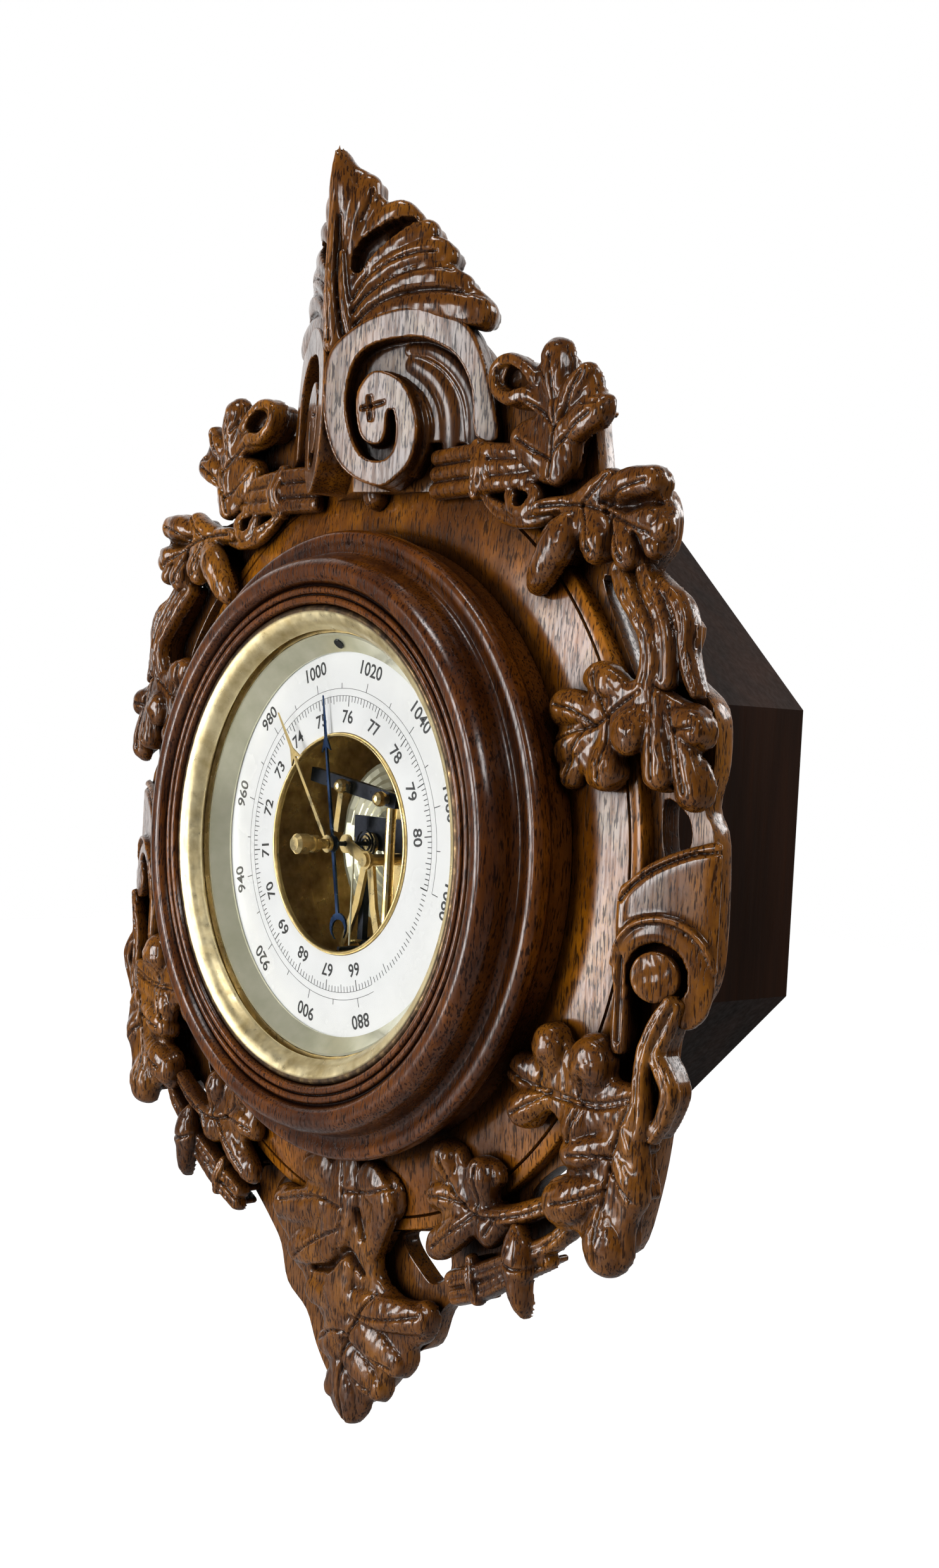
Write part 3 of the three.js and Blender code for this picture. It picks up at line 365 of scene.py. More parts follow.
def skin(field, origin, step):
    """The surface where the field is zero, one point to a cell."""
    field = np.pad(field, 1, constant_values=step)
    cells = tuple(n - 1 for n in field.shape)
    middle, count = np.zeros(cells + (3,), dtype=np.float32), np.zeros(cells, dtype=np.float32)
    inside = field < 0
    for axis in range(3):
        others = [k for k in range(3) if k != axis]
        for corner in ((0, 0), (0, 1), (1, 0), (1, 1)):
            start = [0, 0, 0]
            start[others[0]], start[others[1]] = corner
            stop = list(start)
            stop[axis] = 1
            near = tuple(slice(s, s + n) for s, n in zip(start, cells))
            far = tuple(slice(s, s + n) for s, n in zip(stop, cells))
            crossed = inside[near] != inside[far]
            share = np.where(crossed, field[near] / np.where(crossed, field[near] - field[far], 1), 0)
            count += crossed
            for k in range(3):
                middle[..., k] += crossed * (start[k] + (share if k == axis else 0))
    used = count > 0
    number = np.full(cells, -1)
    number[used] = np.arange(used.sum())
    points = np.argwhere(used) - 1 + middle[used] / count[used][:, None]
    faces = []
    for axis in range(3):
        p, q = [k for k in range(3) if k != axis]
        first = [slice(1, -1)] * 3
        second = [slice(1, -1)] * 3
        first[axis], second[axis] = slice(0, -1), slice(1, None)
        a, b = inside[tuple(first)], inside[tuple(second)]
        at = np.argwhere(a != b)
        ways = a[tuple(at.T)] != (axis == 1)
        corners = []
        for dp, dq in ((0, 0), (1, 0), (1, 1), (0, 1)):
            spot = at.copy()
            spot[:, p] += dp
            spot[:, q] += dq
            corners.append(number[tuple(spot.T)])
        quads = np.stack(corners, axis=-1)
        quads[~ways] = quads[~ways][:, ::-1]
        faces.append(quads)
    return points * step + origin, np.vstack(faces)


class Carving:
    """Wood left standing under strokes of the gouge, laid out in millimetres in the plane x, z."""
    ROUND = 0.97       # how far round a lobe turns over before its edge
    NARROWEST = 0.6    # half width of the finest gouge
    RIM = 3.2          # depth below the face at which the undercut begins
    BLEND = 0.7        # how softly one stroke runs into the next

    def __init__(self, left, right, bottom, top, front, back, step):
        self.origin, self.step, self.back = (left, front, bottom), step, back
        across, upward = np.arange(left, right, step), np.arange(bottom, top, step)
        self.x, self.z = np.meshgrid(across, upward, indexing="ij")
        self.y = np.arange(front, back + 2 * step, step)
        self.solids, self.voids = [], []
        self.turn, self.shift, self.wobble, self.undercut = 0.0, (0.0, 0.0), 0.14, 0.8

    def beside(self, a, b):
        """How far along a to b each point lies, and its offset from that place."""
        dx, dz = b[0] - a[0], b[1] - a[1]
        t = np.clip(((self.x - a[0]) * dx + (self.z - a[1]) * dz) / (dx * dx + dz * dz + 1e-9), 0, 1)
        return t, self.x - a[0] - t * dx, self.z - a[1] - t * dz

    def nearest(self, points):
        """Distance to a tapering line less its radius, with the line's own numbers where it is nearest."""
        line = curve_through(points, 5)
        best = np.full(self.x.shape, 1e9)
        held = np.zeros((line.shape[1] - 2,) + self.x.shape)
        gap, across = best.copy(), best.copy()
        for a, b in zip(line[:-1], line[1:]):
            t, px, pz = self.beside(a, b)
            away = np.hypot(px, pz)
            score = away - (a[2] + t * (b[2] - a[2]))
            closer = score < best
            best = np.where(closer, score, best)
            gap = np.where(closer, away, gap)
            side = np.sign(px * (b[1] - a[1]) - pz * (b[0] - a[0]))
            across = np.where(closer, side * away, across)
            for k in range(len(held)):
                held[k] = np.where(closer, a[k + 2] + t * (b[k + 2] - a[k + 2]), held[k])
        return best, gap, across, held

    def stroke(self, points, fall=3.0, vein=0.0, reeds=0, reed=0.8, edge=1.2, under=0.75):
        """A lobe or rib: rows of x, z, radius and depth of its crest."""
        best, gap, across, held = self.nearest(points)
        share = np.clip(gap / held[0], 0, 1)
        front = held[1] + fall * (1 - np.sqrt(1 - self.ROUND * share ** 2))
        if vein:
            front = front + vein * np.exp(-(gap / 0.75) ** 2)
        if reeds:
            front = front + reed * (1 - abs(np.sin(math.pi * reeds * (across / held[0] + 1) / 2)))
        self.solids.append([best, front, edge, under * held[0]])

    def cut(self, points, depth):
        """An incised line: rows of x, z and half width."""
        gap = self.nearest([(*p, 0) for p in points])
        width = np.maximum(gap[3][0], self.NARROWEST)
        for solid in self.solids:
            solid[1] = solid[1] + 1.3 * depth * np.exp(-(gap[1] / width) ** 2)

    def veins(self, *lines, depth=1.0):
        """Incised lines as fine as the gouge cuts: rows of x and z."""
        for line in lines:
            self.cut([(x, z, 0.5) for x, z in line], depth)

    def inside(self, outline, per=5):
        """Distance to a closed smooth outline, negative within it."""
        loop = curve_through(outline, per, True)
        away, within = np.full(self.x.shape, 1e9), np.zeros(self.x.shape, dtype=bool)
        for a, b in zip(loop, np.roll(loop, -1, axis=0)):
            dx, dz = b - a
            away = np.minimum(away, np.hypot(*self.beside(a, b)[1:]))
            spans = (a[1] > self.z) != (b[1] > self.z)
            if dz:
                within ^= spans & (self.x < a[0] + (self.z - a[1]) * dx / dz)
        return np.where(within, -away, away)

    def slab(self, outline, front, fall, band=5, edge=1.2, per=5):
        """A flat field that falls away over a band inside its outline."""
        gap = self.inside(outline, per)
        share = np.clip(1 + gap / band, 0, 1)
        self.solids.append([gap, front + fall * (1 - np.sqrt(1 - self.ROUND * share ** 2)), edge, 7.0])

    def sink(self, outline, depth, round_to):
        """A pocket to a depth, dished towards its middle."""
        gap = self.inside(outline)
        share = np.clip(-gap / round_to, 0, 1)
        for solid in self.solids:
            floor = depth - (1 - share) ** 2 * 1.5
            solid[1] = np.where(gap < 0, np.maximum(solid[1], floor), solid[1])

    def pierce(self, outline):
        self.voids.append(-self.inside(outline))

    def carve(self, name, node=None, mirrored=BOTH, seat=True):
        """Mesh the strokes, seat them on the board and make one piece for each side."""
        field = np.full(self.x.shape + (len(self.y),), 50.0, dtype=np.float32)
        wobble = self.wobble * np.sin(self.x * 0.9 + 2 * np.sin(self.z * 0.31)) * np.sin(
            self.z * 0.7 + 1.7 * np.sin(self.x * 0.4))
        for outline, front, edge, under in self.solids:
            b = (front + wobble)[..., None] - self.y
            drawn_in = np.minimum(np.maximum(-b - self.RIM, 0), (under + 0 * front)[..., None])
            a = outline[..., None] + self.undercut * drawn_in
            steep = np.minimum(np.hypot(*np.gradient(front, self.step)), 2)
            b = b / np.sqrt(1 + steep ** 2)[..., None]
            h = np.maximum(edge - abs(a - b), 0) / edge
            solid = np.maximum(a, b) + h * h * edge / 4
            h = np.maximum(self.BLEND - abs(field - solid), 0) / self.BLEND
            field = np.minimum(field, solid) - h * h * self.BLEND / 4
        for void in self.voids:
            field = np.maximum(field, void[..., None])
        cos, sin = math.cos(math.radians(self.turn)), math.sin(math.radians(self.turn))
        wide, deep = self.x[..., None], self.y + 0 * self.x[..., None]
        x = wide * cos - deep * sin + self.shift[0]
        y = wide * sin + deep * cos + self.shift[1]
        if seat:
            far = np.hypot(x, self.z[..., None])
            board = np.where(far > DISC_EDGE, BACKING_FACE, disc_face(np.maximum(far, 120)) - 0.2)
            field = np.maximum(field, y - board)
            field = np.maximum(field, RING_EDGE - far)
        if self.turn:  # a half that is turned back ends at the keel
            field = np.maximum(field, -0.1 - x)
        field = np.maximum(field, self.y - self.back)
        points, faces = skin(field.transpose(0, 2, 1), self.origin, self.step)
        placed = points.copy()
        placed[:, 0] = points[:, 0] * cos - points[:, 1] * sin + self.shift[0]
        placed[:, 1] = points[:, 0] * sin + points[:, 1] * cos + self.shift[1]
        for left in mirrored:
            prefix = ("left_" if left else "right_") if len(mirrored) == 2 else ""
            side = placed * (-1 if left else 1, 1, 1)
            wound = faces[:, ::-1] if left else faces
            mesh = built(prefix + name, side, wound)
            made_piece(prefix + name + "_carved", mesh, oak, "case", prefix + (node or name))


for side, label in ((False, "crest_leaf_right"), (True, "crest_leaf_left")):
    leaf = Carving(-2, 70, 185, 267, -1, 16, 0.8)
    leaf.turn, leaf.shift, leaf.wobble, leaf.undercut = 27, (0, -20), 0.06, 0.3
    leaf.slab([
        (-3, 188), (0, 188), (8, 193), (18, 199), (32, 201), (45, 198), (59, 193), (66, 192.5), (68, 200),
        (61, 207), (53, 212), (51, 216), (46, 225), (41, 229), (35, 233), (27, 238), (19, 244), (17, 250),
        (13, 253), (8, 256), (3, 262.5), (0, 264.6), (-3, 264.6)], 3.4, 3, edge=0.8)
    leaf.stroke([(-0.5, 262, 3, 2), (0.6, 250, 4, 0.8), (0.6, 238, 3.4, 0.8), (0.8, 222, 3, 0.6),
                 (1.4, 206, 3.4, 0.6), (3, 190, 5, 1.6)], 2.6)
    leaf.stroke([(1.5, 257, 4, 1.8), (3.6, 248, 6.4, 1), (5.4, 240, 5.6, 1.6), (5.6, 230, 3, 2.8)])
    leaf.stroke([(5.4, 222, 1.8, 1.8), (6.4, 210, 2.4, 1.4), (8.6, 199, 2.8, 1.6), (10.6, 191, 2.6, 3)], 2.4)
    leaf.stroke([(8, 225, 2.4, 3.4), (10.4, 235, 4.6, 1.8), (13, 242.6, 5.6, 1.4), (14, 247, 4.8, 2.4)], 3.2)
    leaf.stroke([(15, 228, 2.4, 3.8), (21, 234, 4.4, 2.2), (28, 236.6, 4.8, 2), (33.4, 233.6, 3.8, 3.4)], 3.2)
    leaf.stroke([(11.4, 210, 2, 3.4), (18, 218.6, 3.4, 3), (29, 225.6, 4.4, 1.8), (39, 228.6, 5, 2.4)])
    leaf.stroke([(11, 203, 2.4, 3), (18, 211.6, 3.6, 2.2), (30, 218.6, 4.6, 1.4), (42, 221.4, 5.6, 1.8),
                 (47, 219.4, 5, 3)], 2.8)
    leaf.stroke([(11, 196.6, 3, 3), (20, 205, 4.2, 2), (33, 211, 4.8, 1.2), (46, 211.6, 5.2, 1.4),
                 (54, 208.6, 4.6, 3)], 2.4)
    leaf.stroke([(12, 192, 3, 3.4), (24, 199.6, 4, 2.4), (40, 201.6, 5, 1.6), (55, 199.6, 6, 1),
                 (62, 198.4, 5.4, 1.4)], 2)
    leaf.sink([(9.4, 217), (12.6, 215), (17, 219.5), (23, 225), (31, 230.4), (35, 233.4), (30, 234),
               (23, 232), (16, 229), (11, 224)], 10, 2)
    leaf.veins(
        [(11, 205), (15, 211.5), (21, 215.8), (29, 219), (37, 220.8), (44, 221)],
        [(11, 200), (16, 205.6), (25, 211), (35.4, 214.4), (46, 215), (51, 214)],
        [(12, 195.4), (20, 202), (30, 206), (40, 207.4), (50, 206.8), (58, 204.6)],
        [(-0.6, 250), (-0.4, 230), (0.6, 208), (2, 190)], [(4, 236), (4, 222), (4.6, 208), (7, 192)],
        [(13, 234), (16, 240), (17, 245)], [(22, 229), (27, 232)])
    leaf.carve(label, "crest_leaf", (side,), seat=False)

# Crest scrolls: oak, a flat raised band that curls into an eye over a sunk, dished channel.
# They lie turned back from the keel, under the palm leaf, and are glued to the crest block.
scroll = Carving(-1, 74, 133, 203, -1, 16, 0.6)
scroll.turn, scroll.shift, scroll.wobble, scroll.undercut = 27, (0, -18), 0, 0
scroll_edge = [
    (72, 152), (69, 168), (64, 183), (58, 193), (49, 198), (40, 200.5), (30, 200.6), (18, 197.5), (7, 191),
    (1, 183), (0, 168), (2, 156), (7, 145), (15, 138), (26, 135), (33, 139), (38, 145)]
scroll_eye = [
    (40, 156), (37, 167), (31, 175), (21, 178), (15, 172), (14, 165), (16, 155), (20, 151),
    (25, 151), (27, 155), (27.4, 162)]
scroll_inner = [
    (29.5, 163), (31, 156), (30, 148), (25, 144.5), (17, 147), (11.5, 158), (10, 170), (13, 182), (21, 188),
    (35, 190), (44, 188), (54, 182), (60.5, 170), (63, 153)]
scroll.slab([*scroll_edge, (39.5, 152)], 7.4, 0, 3, 0.6)
scroll.slab([*scroll_edge, *scroll_eye, *scroll_inner], 0.1, 0.3, 0.8, 0.3, 3)
scroll.stroke([(60, 151, 3.4, 7), (58, 168, 3.6, 6.2), (51, 179, 3.4, 6), (42, 185, 3, 6),
               (33, 186.6, 2.4, 6.6)], 1)
scroll.stroke([(50, 151, 3.6, 7.2), (48.6, 165, 3.8, 6.8), (42.6, 175, 3.6, 6.8), (34, 181, 3.2, 7)], 0.9)
scroll.stroke([(35, 142, 2.5, 7), (38.6, 150, 3, 6), (39.4, 158, 3.4, 5.6), (36.4, 167, 3, 5.8),
               (30, 173.5, 2.4, 6.4)], 1.6)
scroll.veins([(17, 164), (25, 166)], [(20.6, 160), (19.6, 168)])
scroll.carve("crest_scroll")

# Crest block: a plain wedge of oak glued to the board behind the two scrolls and the palm leaf.
# A half-round boss closes the gap below the scrolls.
block_points = [(x, y, z) for z in (135, 207) for x, y in (
    (-37.2, 20), (37.2, 20), (37.2, 17.3), (0.4, -1.4), (-0.4, -1.4), (-37.2, 17.3))]
block_faces = [(0, 1, 2, 3, 4, 5), (11, 10, 9, 8, 7, 6)]
block_faces += [(i, i + 6, (i + 1) % 6 + 6, (i + 1) % 6) for i in range(6)]
wedge = built("crest_block", block_points, block_faces)
made_piece("crest_block_wedge", wedge, oak, "case", "crest_block", 20)
boss = Carving(-9, 9, 127, 144, 3, 20, 0.6)
boss.stroke([(0, 135, 6, 5.2), (0, 136, 6, 5.2)], 5.6)
boss.carve("crest_boss", "crest_block", (False,))

# Upper reeds: three round oak rods side by side under the scroll, tied by a carved ribbon.
# Carved from one billet and glued to the disc and the board; a hooked tab below them is bored through.
reeds = Carving(36, 104, 118, 154, 1, 20, 0.7)
for z in (134, 140.1, 146.2):
    inward = 140 - z
    reeds.stroke([(38, z, 3.3, 6.2), (60, z + 0.3, 3.3, 5.6), (84, z - 0.4 + inward * 0.15, 3.1, 6.2),
                  (93, z + inward * 0.35, 2.6, 8)], 3.1)
reeds.stroke([(61, 131.5, 2.6, 6), (63.5, 140, 3.2, 3.8), (61, 149, 2.6, 6)], 2.2, vein=0.8)
reeds.stroke([(67, 132, 2, 7), (67.5, 140, 2.6, 4.8), (66, 148, 2, 7)], 2)
reeds.stroke([(64, 131, 1.6, 8), (71, 126.5, 3, 7), (79, 123, 4, 6.4), (90, 121.4, 4, 6.4),
              (100, 122.4, 3, 8)], 2, vein=0.6)
reeds.stroke([(80, 129.6, 3, 6.4), (84, 124.4, 3.4, 5.6), (90, 124, 3.4, 5.6), (92.6, 129, 3.4, 6.4),
              (87, 132.6, 3, 6.6)], 2)
reeds.pierce([(90, 129.4), (88.6, 125.8), (84.6, 125.6), (83, 128.6), (85.6, 131)])
reeds.carve("upper_reeds")

# Upper leaf: an oak leaf that rises from the end of the reeds, its left lobe curled into a cup.
# Carved in one with raised lobes and cut veins, and glued to the board.
leaf = Carving(62, 130, 129, 185, 0, 20, 0.7)
leaf.slab([
    (95, 133), (89, 140), (83, 144), (78.6, 149), (81, 154.6), (87, 156.6), (91, 157.6), (86, 159),
    (78, 160.6), (71.4, 164.4), (66.4, 170), (67.4, 176.4), (74, 180), (82, 178.4), (87.6, 174.6),
    (91.6, 175), (93, 180), (98, 183), (104, 181), (107, 175), (108, 168.6), (111.4, 169.6), (115.6, 172),
    (119.4, 168), (121.4, 162.4), (125.4, 160), (126, 154.6), (122.4, 150), (117.4, 148.6), (112.6, 145.6),
    (110.6, 138), (105, 132.6)], 6 + 0.05 * abs(leaf.x - 100), 3.4)
leaf.stroke([(97, 138, 4, 6.4), (89, 144, 5.4, 5.2), (83.6, 149, 5, 5.8)])
leaf.stroke([(93, 160, 3, 6), (86, 164, 3, 4.6), (78, 163.6, 2.6, 4.2), (71, 168, 2.4, 4.6),
             (70, 175, 2.4, 5), (77, 177.6, 2.4, 4.8), (85, 174, 2.6, 4.6), (91, 169, 3, 5)], 2)
leaf.sink([(74, 170), (77, 175), (83, 173.4), (88, 168.6), (84, 166.6), (78, 167)], 12, 4)
leaf.stroke([(102, 160, 4.4, 5.4), (100.6, 169, 5.6, 3.8), (99.6, 176, 5.6, 4.2)], 3.2, under=9)
leaf.stroke([(105, 158, 3.4, 5.6), (111, 164, 4.6, 4.4), (115.4, 169, 3.4, 5.4)], under=9)
leaf.stroke([(107, 148, 4.4, 6), (114, 152.6, 5.8, 4.6), (120, 155, 5.4, 5)], 3.2, under=9)
leaf.stroke([(103, 136, 5, 5.6), (104, 147, 4.6, 4.6), (102.6, 158, 4, 4.8)])
leaf.veins(
    [(101, 134), (103.6, 147), (102.4, 160), (100, 176)], [(103.6, 150), (110, 160.6), (115, 169)],
    [(104, 143), (111, 149.4), (120, 154.6)], [(103.4, 151), (96, 157.4), (88, 161.4)],
    [(102.4, 140), (94, 143.6), (84, 149)], [(98, 168), (94, 172)], [(116, 158), (122, 158)])
leaf.carve("upper_leaf")

# Corner leaf: a broad oak leaf turned over at its edges, with an acorn hanging from its cup beneath.
# One carving, glued across the edge of the disc.
leaf = Carving(86, 160, 92, 139, -3, 20, 0.7)
leaf.slab([
    (95, 124.4), (101, 127.6), (109.6, 128.6), (118, 131.4), (124, 134.4), (129, 136), (133, 133.6),
    (138, 135.6), (144, 136), (150, 134.6), (153.4, 130), (153, 124.6), (156, 119.6), (156.4, 113),
    (154, 107.6), (150, 104.8), (146.6, 107), (146.6, 103.6), (140.5, 101.4), (133.6, 101.8),
    (130.6, 105.4), (126, 104.4), (119.6, 106.6), (115.6, 112), (110.3, 118.6), (101, 121)],
    6 + 0.06 * abs(leaf.x - 118), 3.6, 6)
leaf.stroke([(112, 125, 3, 7), (122, 128, 4.4, 5), (128, 131.6, 4.2, 5.8)])
leaf.stroke([(126, 124, 4, 6), (138, 129, 5.8, 3.2), (148, 130, 5.4, 4.6)], 4, under=9)
leaf.stroke([(138, 117, 4.4, 6), (147, 117.6, 5.8, 4), (152.4, 115, 5.2, 5.8)], 3.6, under=9)
leaf.stroke([(144, 112, 3.4, 6.4), (150, 108.4, 4, 6)], 3.4, under=9)
leaf.stroke([(134, 116, 4.4, 6), (138.6, 108.4, 5.6, 4), (139, 105.6, 4.8, 5)], 3.6)
leaf.stroke([(121, 120, 4.4, 6), (124, 112, 6, 3.8), (124, 108.6, 5, 4.8)], 3.8)
leaf.stroke([(109, 123, 3, 6.4), (115, 117, 4.4, 5)], 3.2)
leaf.stroke([(95.4, 124, 3, 5), (101, 124.6, 3.2, 5), (109, 125, 3, 6)], 2.6, vein=0.6)
leaf.cut([(128, 124.4, 1.2), (139, 122.6, 2.2), (151, 122.6, 1.6)], 2.2)
leaf.cut([(132, 119, 0.8), (131.6, 110, 1.6), (130.6, 104, 1.4)], 2)
leaf.cut([(143, 113, 0.8), (145.6, 107.6, 1.4), (146.4, 104, 1.2)], 1.8)
leaf.veins(
    [(98, 124.4), (107.4, 124.4), (118.6, 123.6), (129.7, 120.8), (140.6, 116.4), (150, 113)],
    [(118, 123.8), (124, 128), (129, 133)], [(128, 121.4), (137, 127), (148, 130)],
    [(129, 121), (135, 112), (139, 105)], [(118, 123.6), (122, 115), (124, 108)])
leaf.stroke([(112, 118, 5, 3), (109, 113.6, 7.2, 1), (106.6, 110.4, 7.6, 1)], 6.4, edge=0.8)
leaf.stroke([(106.4, 110.4, 6.6, 1.6), (101.6, 103.6, 6.4, 1.8), (97.6, 98.6, 4.6, 3.4),
             (95, 95.6, 1.6, 6)], 5.6)
leaf.carve("corner_leaf")

# Twisted stem: oak ribbons that wind down from the corner leaf to the side leaves.
# Pierced behind, so that they touch the board only at their ends.
stem = Carving(128, 176, 58, 106, 1, 20, 0.7)
stem.stroke([(134, 102, 4.4, 8), (138.6, 95.6, 4.6, 6), (145.6, 87, 4, 5.4), (151, 79.4, 3.8, 5),
             (152.6, 71, 4.4, 5), (150, 62, 5, 6)], 3, reeds=2)
stem.stroke([(144, 101.6, 3.4, 9), (149, 94, 3.6, 7.6), (154.6, 86, 3.4, 7), (157.6, 77, 3.4, 6.6),
             (158, 66, 4, 7)], 2.6, vein=0.8)
stem.stroke([(147, 100, 2.4, 11), (153, 95.6, 3.2, 9.4), (159, 91, 3.6, 8.8), (162.4, 84, 3.4, 9),
             (163, 76, 2.8, 9.6), (165.4, 68, 2.8, 10), (168, 62, 2.4, 11)], 3, reeds=3, reed=0.7)
stem.carve("twisted_stem")

# Side leaves: a spray of oak leaves that hangs from the stem over the upper end of the side scroll.
# One carving; the broad leaf lies on the disc, a narrower pair hangs outwards.
leaf = Carving(104, 180, 21, 75, -3, 20, 0.7)
leaf.slab([
    (150, 67), (143, 65.4), (137, 70), (130, 71.8), (123.6, 69.4), (122, 64.6), (125, 61), (120, 60.6),
    (113, 62.6), (107.6, 59), (107.6, 52), (112, 48.8), (109.2, 44.6), (109, 39), (112, 35), (112.6, 30.4),
    (117, 28), (122, 29.6), (124.6, 33.4), (128, 29.8), (134, 28.4), (140, 30), (143.8, 34.6), (142.6, 40),
    (145, 41.6), (150, 44), (151, 36.4), (155, 30.6), (162, 30), (166.2, 34.4), (165.4, 40.6), (162, 43),
    (164, 28), (170, 24), (175.6, 27), (176.8, 33), (174, 39.6), (171, 42.6), (175.4, 46), (176, 52),
    (171.6, 57.6), (165.6, 59.6), (160, 62)], 5.6 + np.maximum(leaf.x - 150, 0) * 0.2, 3.2)
for lobe in (
    [(142, 62, 4, 5.4), (135, 64.6, 5.6, 3.4), (130, 66, 5.6, 3.8)],
    [(132, 54, 4, 5.4), (121, 56, 6, 3), (114.6, 55.6, 6.4, 3.2)],
    [(130, 47, 4, 5.4), (120, 43.6, 5.6, 3.4), (114.4, 40.4, 5, 4.4)],
    [(122, 38, 3, 6), (118, 33, 4.4, 4.6)],
    [(136, 46, 4, 5.4), (136, 38, 6.4, 2.6), (135.4, 35, 6.4, 3)],
    [(152, 56, 3.4, 5.4), (148, 50, 6.4, 1), (146.8, 47.4, 6.6, 1.2)],
    [(156, 60, 3.4, 6), (157, 46, 4.6, 4.4), (158.6, 36.4, 6.2, 4)],
    [(162, 54, 4, 7.4), (169, 52, 5.4, 6.4), (171, 50, 5, 7)],
    [(164, 50, 3.6, 8), (168, 38, 5.4, 7), (170, 31, 5.8, 7.6)]):
    leaf.stroke(lobe, 4, edge=0.9, under=9)
leaf.veins(
    [(150, 62), (140, 56), (132, 50.6), (122, 48), (112, 44)], [(136, 53.4), (132, 60), (130, 68)],
    [(131, 50), (122, 55), (113, 56.6)], [(137, 53), (137, 44), (135.4, 33)],
    [(126, 48.4), (121, 40), (118, 31)], [(155, 62), (157, 48), (158.6, 34)],
    [(161, 58), (166, 44), (169.6, 30)], [(164, 50), (172, 51)])
leaf.carve("side_leaves")

# Side scroll: the deepest carving of the frame, a heavy oak volute that curls round a flat button.
# It leans outwards, and its upper end runs under the side leaves.
scroll = Carving(-18, 24, -56, 19, -2.5, 27, 0.8)
scroll.turn, scroll.shift, scroll.wobble, scroll.undercut = 22, (161, 9.5), 0, 0
scroll.slab([
    (-16, -5), (-12, 1), (-5.6, 6.4), (2, 10.4), (11, 13.6), (19.4, 15), (20.8, 4), (20.9, -9.2),
    (20.9, -23.2), (19.4, -33), (14.6, -40.6), (8.4, -45.4), (6, -39.5), (-1.8, -38), (-9.4, -34),
    (-9.4, -54.6), (-15.4, -54.6), (-15.6, -30)], 1.4, 2.4, 6, 1)
scroll.stroke([
    (-12.6, -36, 2.4, 1.6), (-13.2, -29, 2.6, 0.8), (-11.4, -22, 3, 0.2), (-6.5, -17, 3.2, -0.2),
    (0.5, -15.4, 3.4, -0.3), (7.5, -17.6, 3.6, -0.2), (12.4, -22.6, 4, 0), (14.8, -30, 4.6, 0.4),
    (13, -37.5, 5, 0.8), (10.5, -41, 4.6, 1)], 0.9, edge=0.8)
scroll.stroke([
    (-16.2, -27, 0.8, 0.6), (-14.2, -19.5, 1, -0.4), (-8.6, -13.2, 1.2, -1.2), (0.5, -10.8, 1.3, -1.4),
    (9.5, -12.8, 1.3, -1.2), (16, -18.6, 1.2, -0.6), (19.4, -26, 0.9, 0.6)], 1.2)
scroll.veins([(-12.6, -24), (-12.8, -36), (-12.6, -52)], depth=1.2)
scroll.cut([(-14.6, -6, 0.5), (-10, -0.4, 0.6), (-4, 4.2, 0.6), (3, 7.8, 0.6), (11, 10.8, 0.6),
            (20, 12, 0.6)], 1.4)
EYE_HEIGHT = -29.5
scroll.sink(ring_of(10.6, 12, EYE_HEIGHT), 6.5, 2)
scroll.carve("side_scroll")

# Scroll button: a flat round eye of oak, turned separately and pegged into the volute.
# Its face is slightly crowned and stands in a dark gap.
eye = Carving(-10, 10, -40, -19, -3, 7, 0.6)
eye.turn, eye.shift = 22, (161, 9.5)
eye.slab(ring_of(8.4, 12, EYE_HEIGHT), -1.9, 0.9, 6, 0.7)
eye.carve("scroll_button", seat=False)

# Lower stem: oak strands and a split pod between the button and the lower leaves.
# Carved free of the board except at their ends.
stem = Carving(148, 178, -86, -33, 1, 20, 0.7)
stem.stroke([(167, -36.6, 2.2, 8), (163, -44, 2.8, 6.6), (159.4, -54, 3.2, 5.8), (158.6, -64, 3.4, 5.6),
             (158.6, -76, 4.4, 5.4), (156, -84, 5, 5.6)], 2.6, reeds=2)
stem.stroke([(168.6, -38, 1.8, 10), (166, -46, 2.4, 8.6), (163, -54, 2.8, 7.4), (167, -60, 3.2, 7),
             (169.6, -66, 3.2, 7.4), (167, -74, 3, 8), (163, -81, 2.4, 8)], 2.4, vein=0.7)
stem.stroke([(163, -60, 1.6, 12), (163.6, -68, 3, 12.5), (162, -78, 2, 12)], 2)
stem.carve("lower_stem")

# Lower leaves: two oak leaves that spring from the stem, one inwards over the disc and one downwards.
# Full, ball-like lobes with a double incised midrib; one carving.
leaf = Carving(92, 168, -134, -48, -4, 20, 0.75)
leaf.slab([
    (96, -73), (97.4, -66.6), (103, -63), (110, -62), (113, -52), (121, -51), (126, -56), (129, -58),
    (132, -52.6), (141, -51.6), (147, -58), (148, -64.6), (158, -66), (160, -78), (152, -80.6), (142, -84),
    (136, -89), (131, -92), (126.6, -91), (124, -84.6), (119, -81), (115, -84), (111.6, -88), (105, -89.6),
    (99.4, -86.6), (98.6, -81), (102, -77)], 5, 3)
leaf.slab([
    (156, -68), (161, -80), (163.4, -92), (163.6, -101), (160, -108), (158.4, -113), (158, -122),
    (153, -128.4), (147, -130.4), (140.6, -128), (137.6, -121.4), (133, -118.6), (128, -120),
    (121.4, -118.4), (118.2, -112), (119.6, -104.4), (126, -100.6), (128.6, -98.8), (125.2, -96),
    (124.6, -91.6), (129, -88.6), (136, -87), (143, -80), (147, -72)], 5.6, 3)
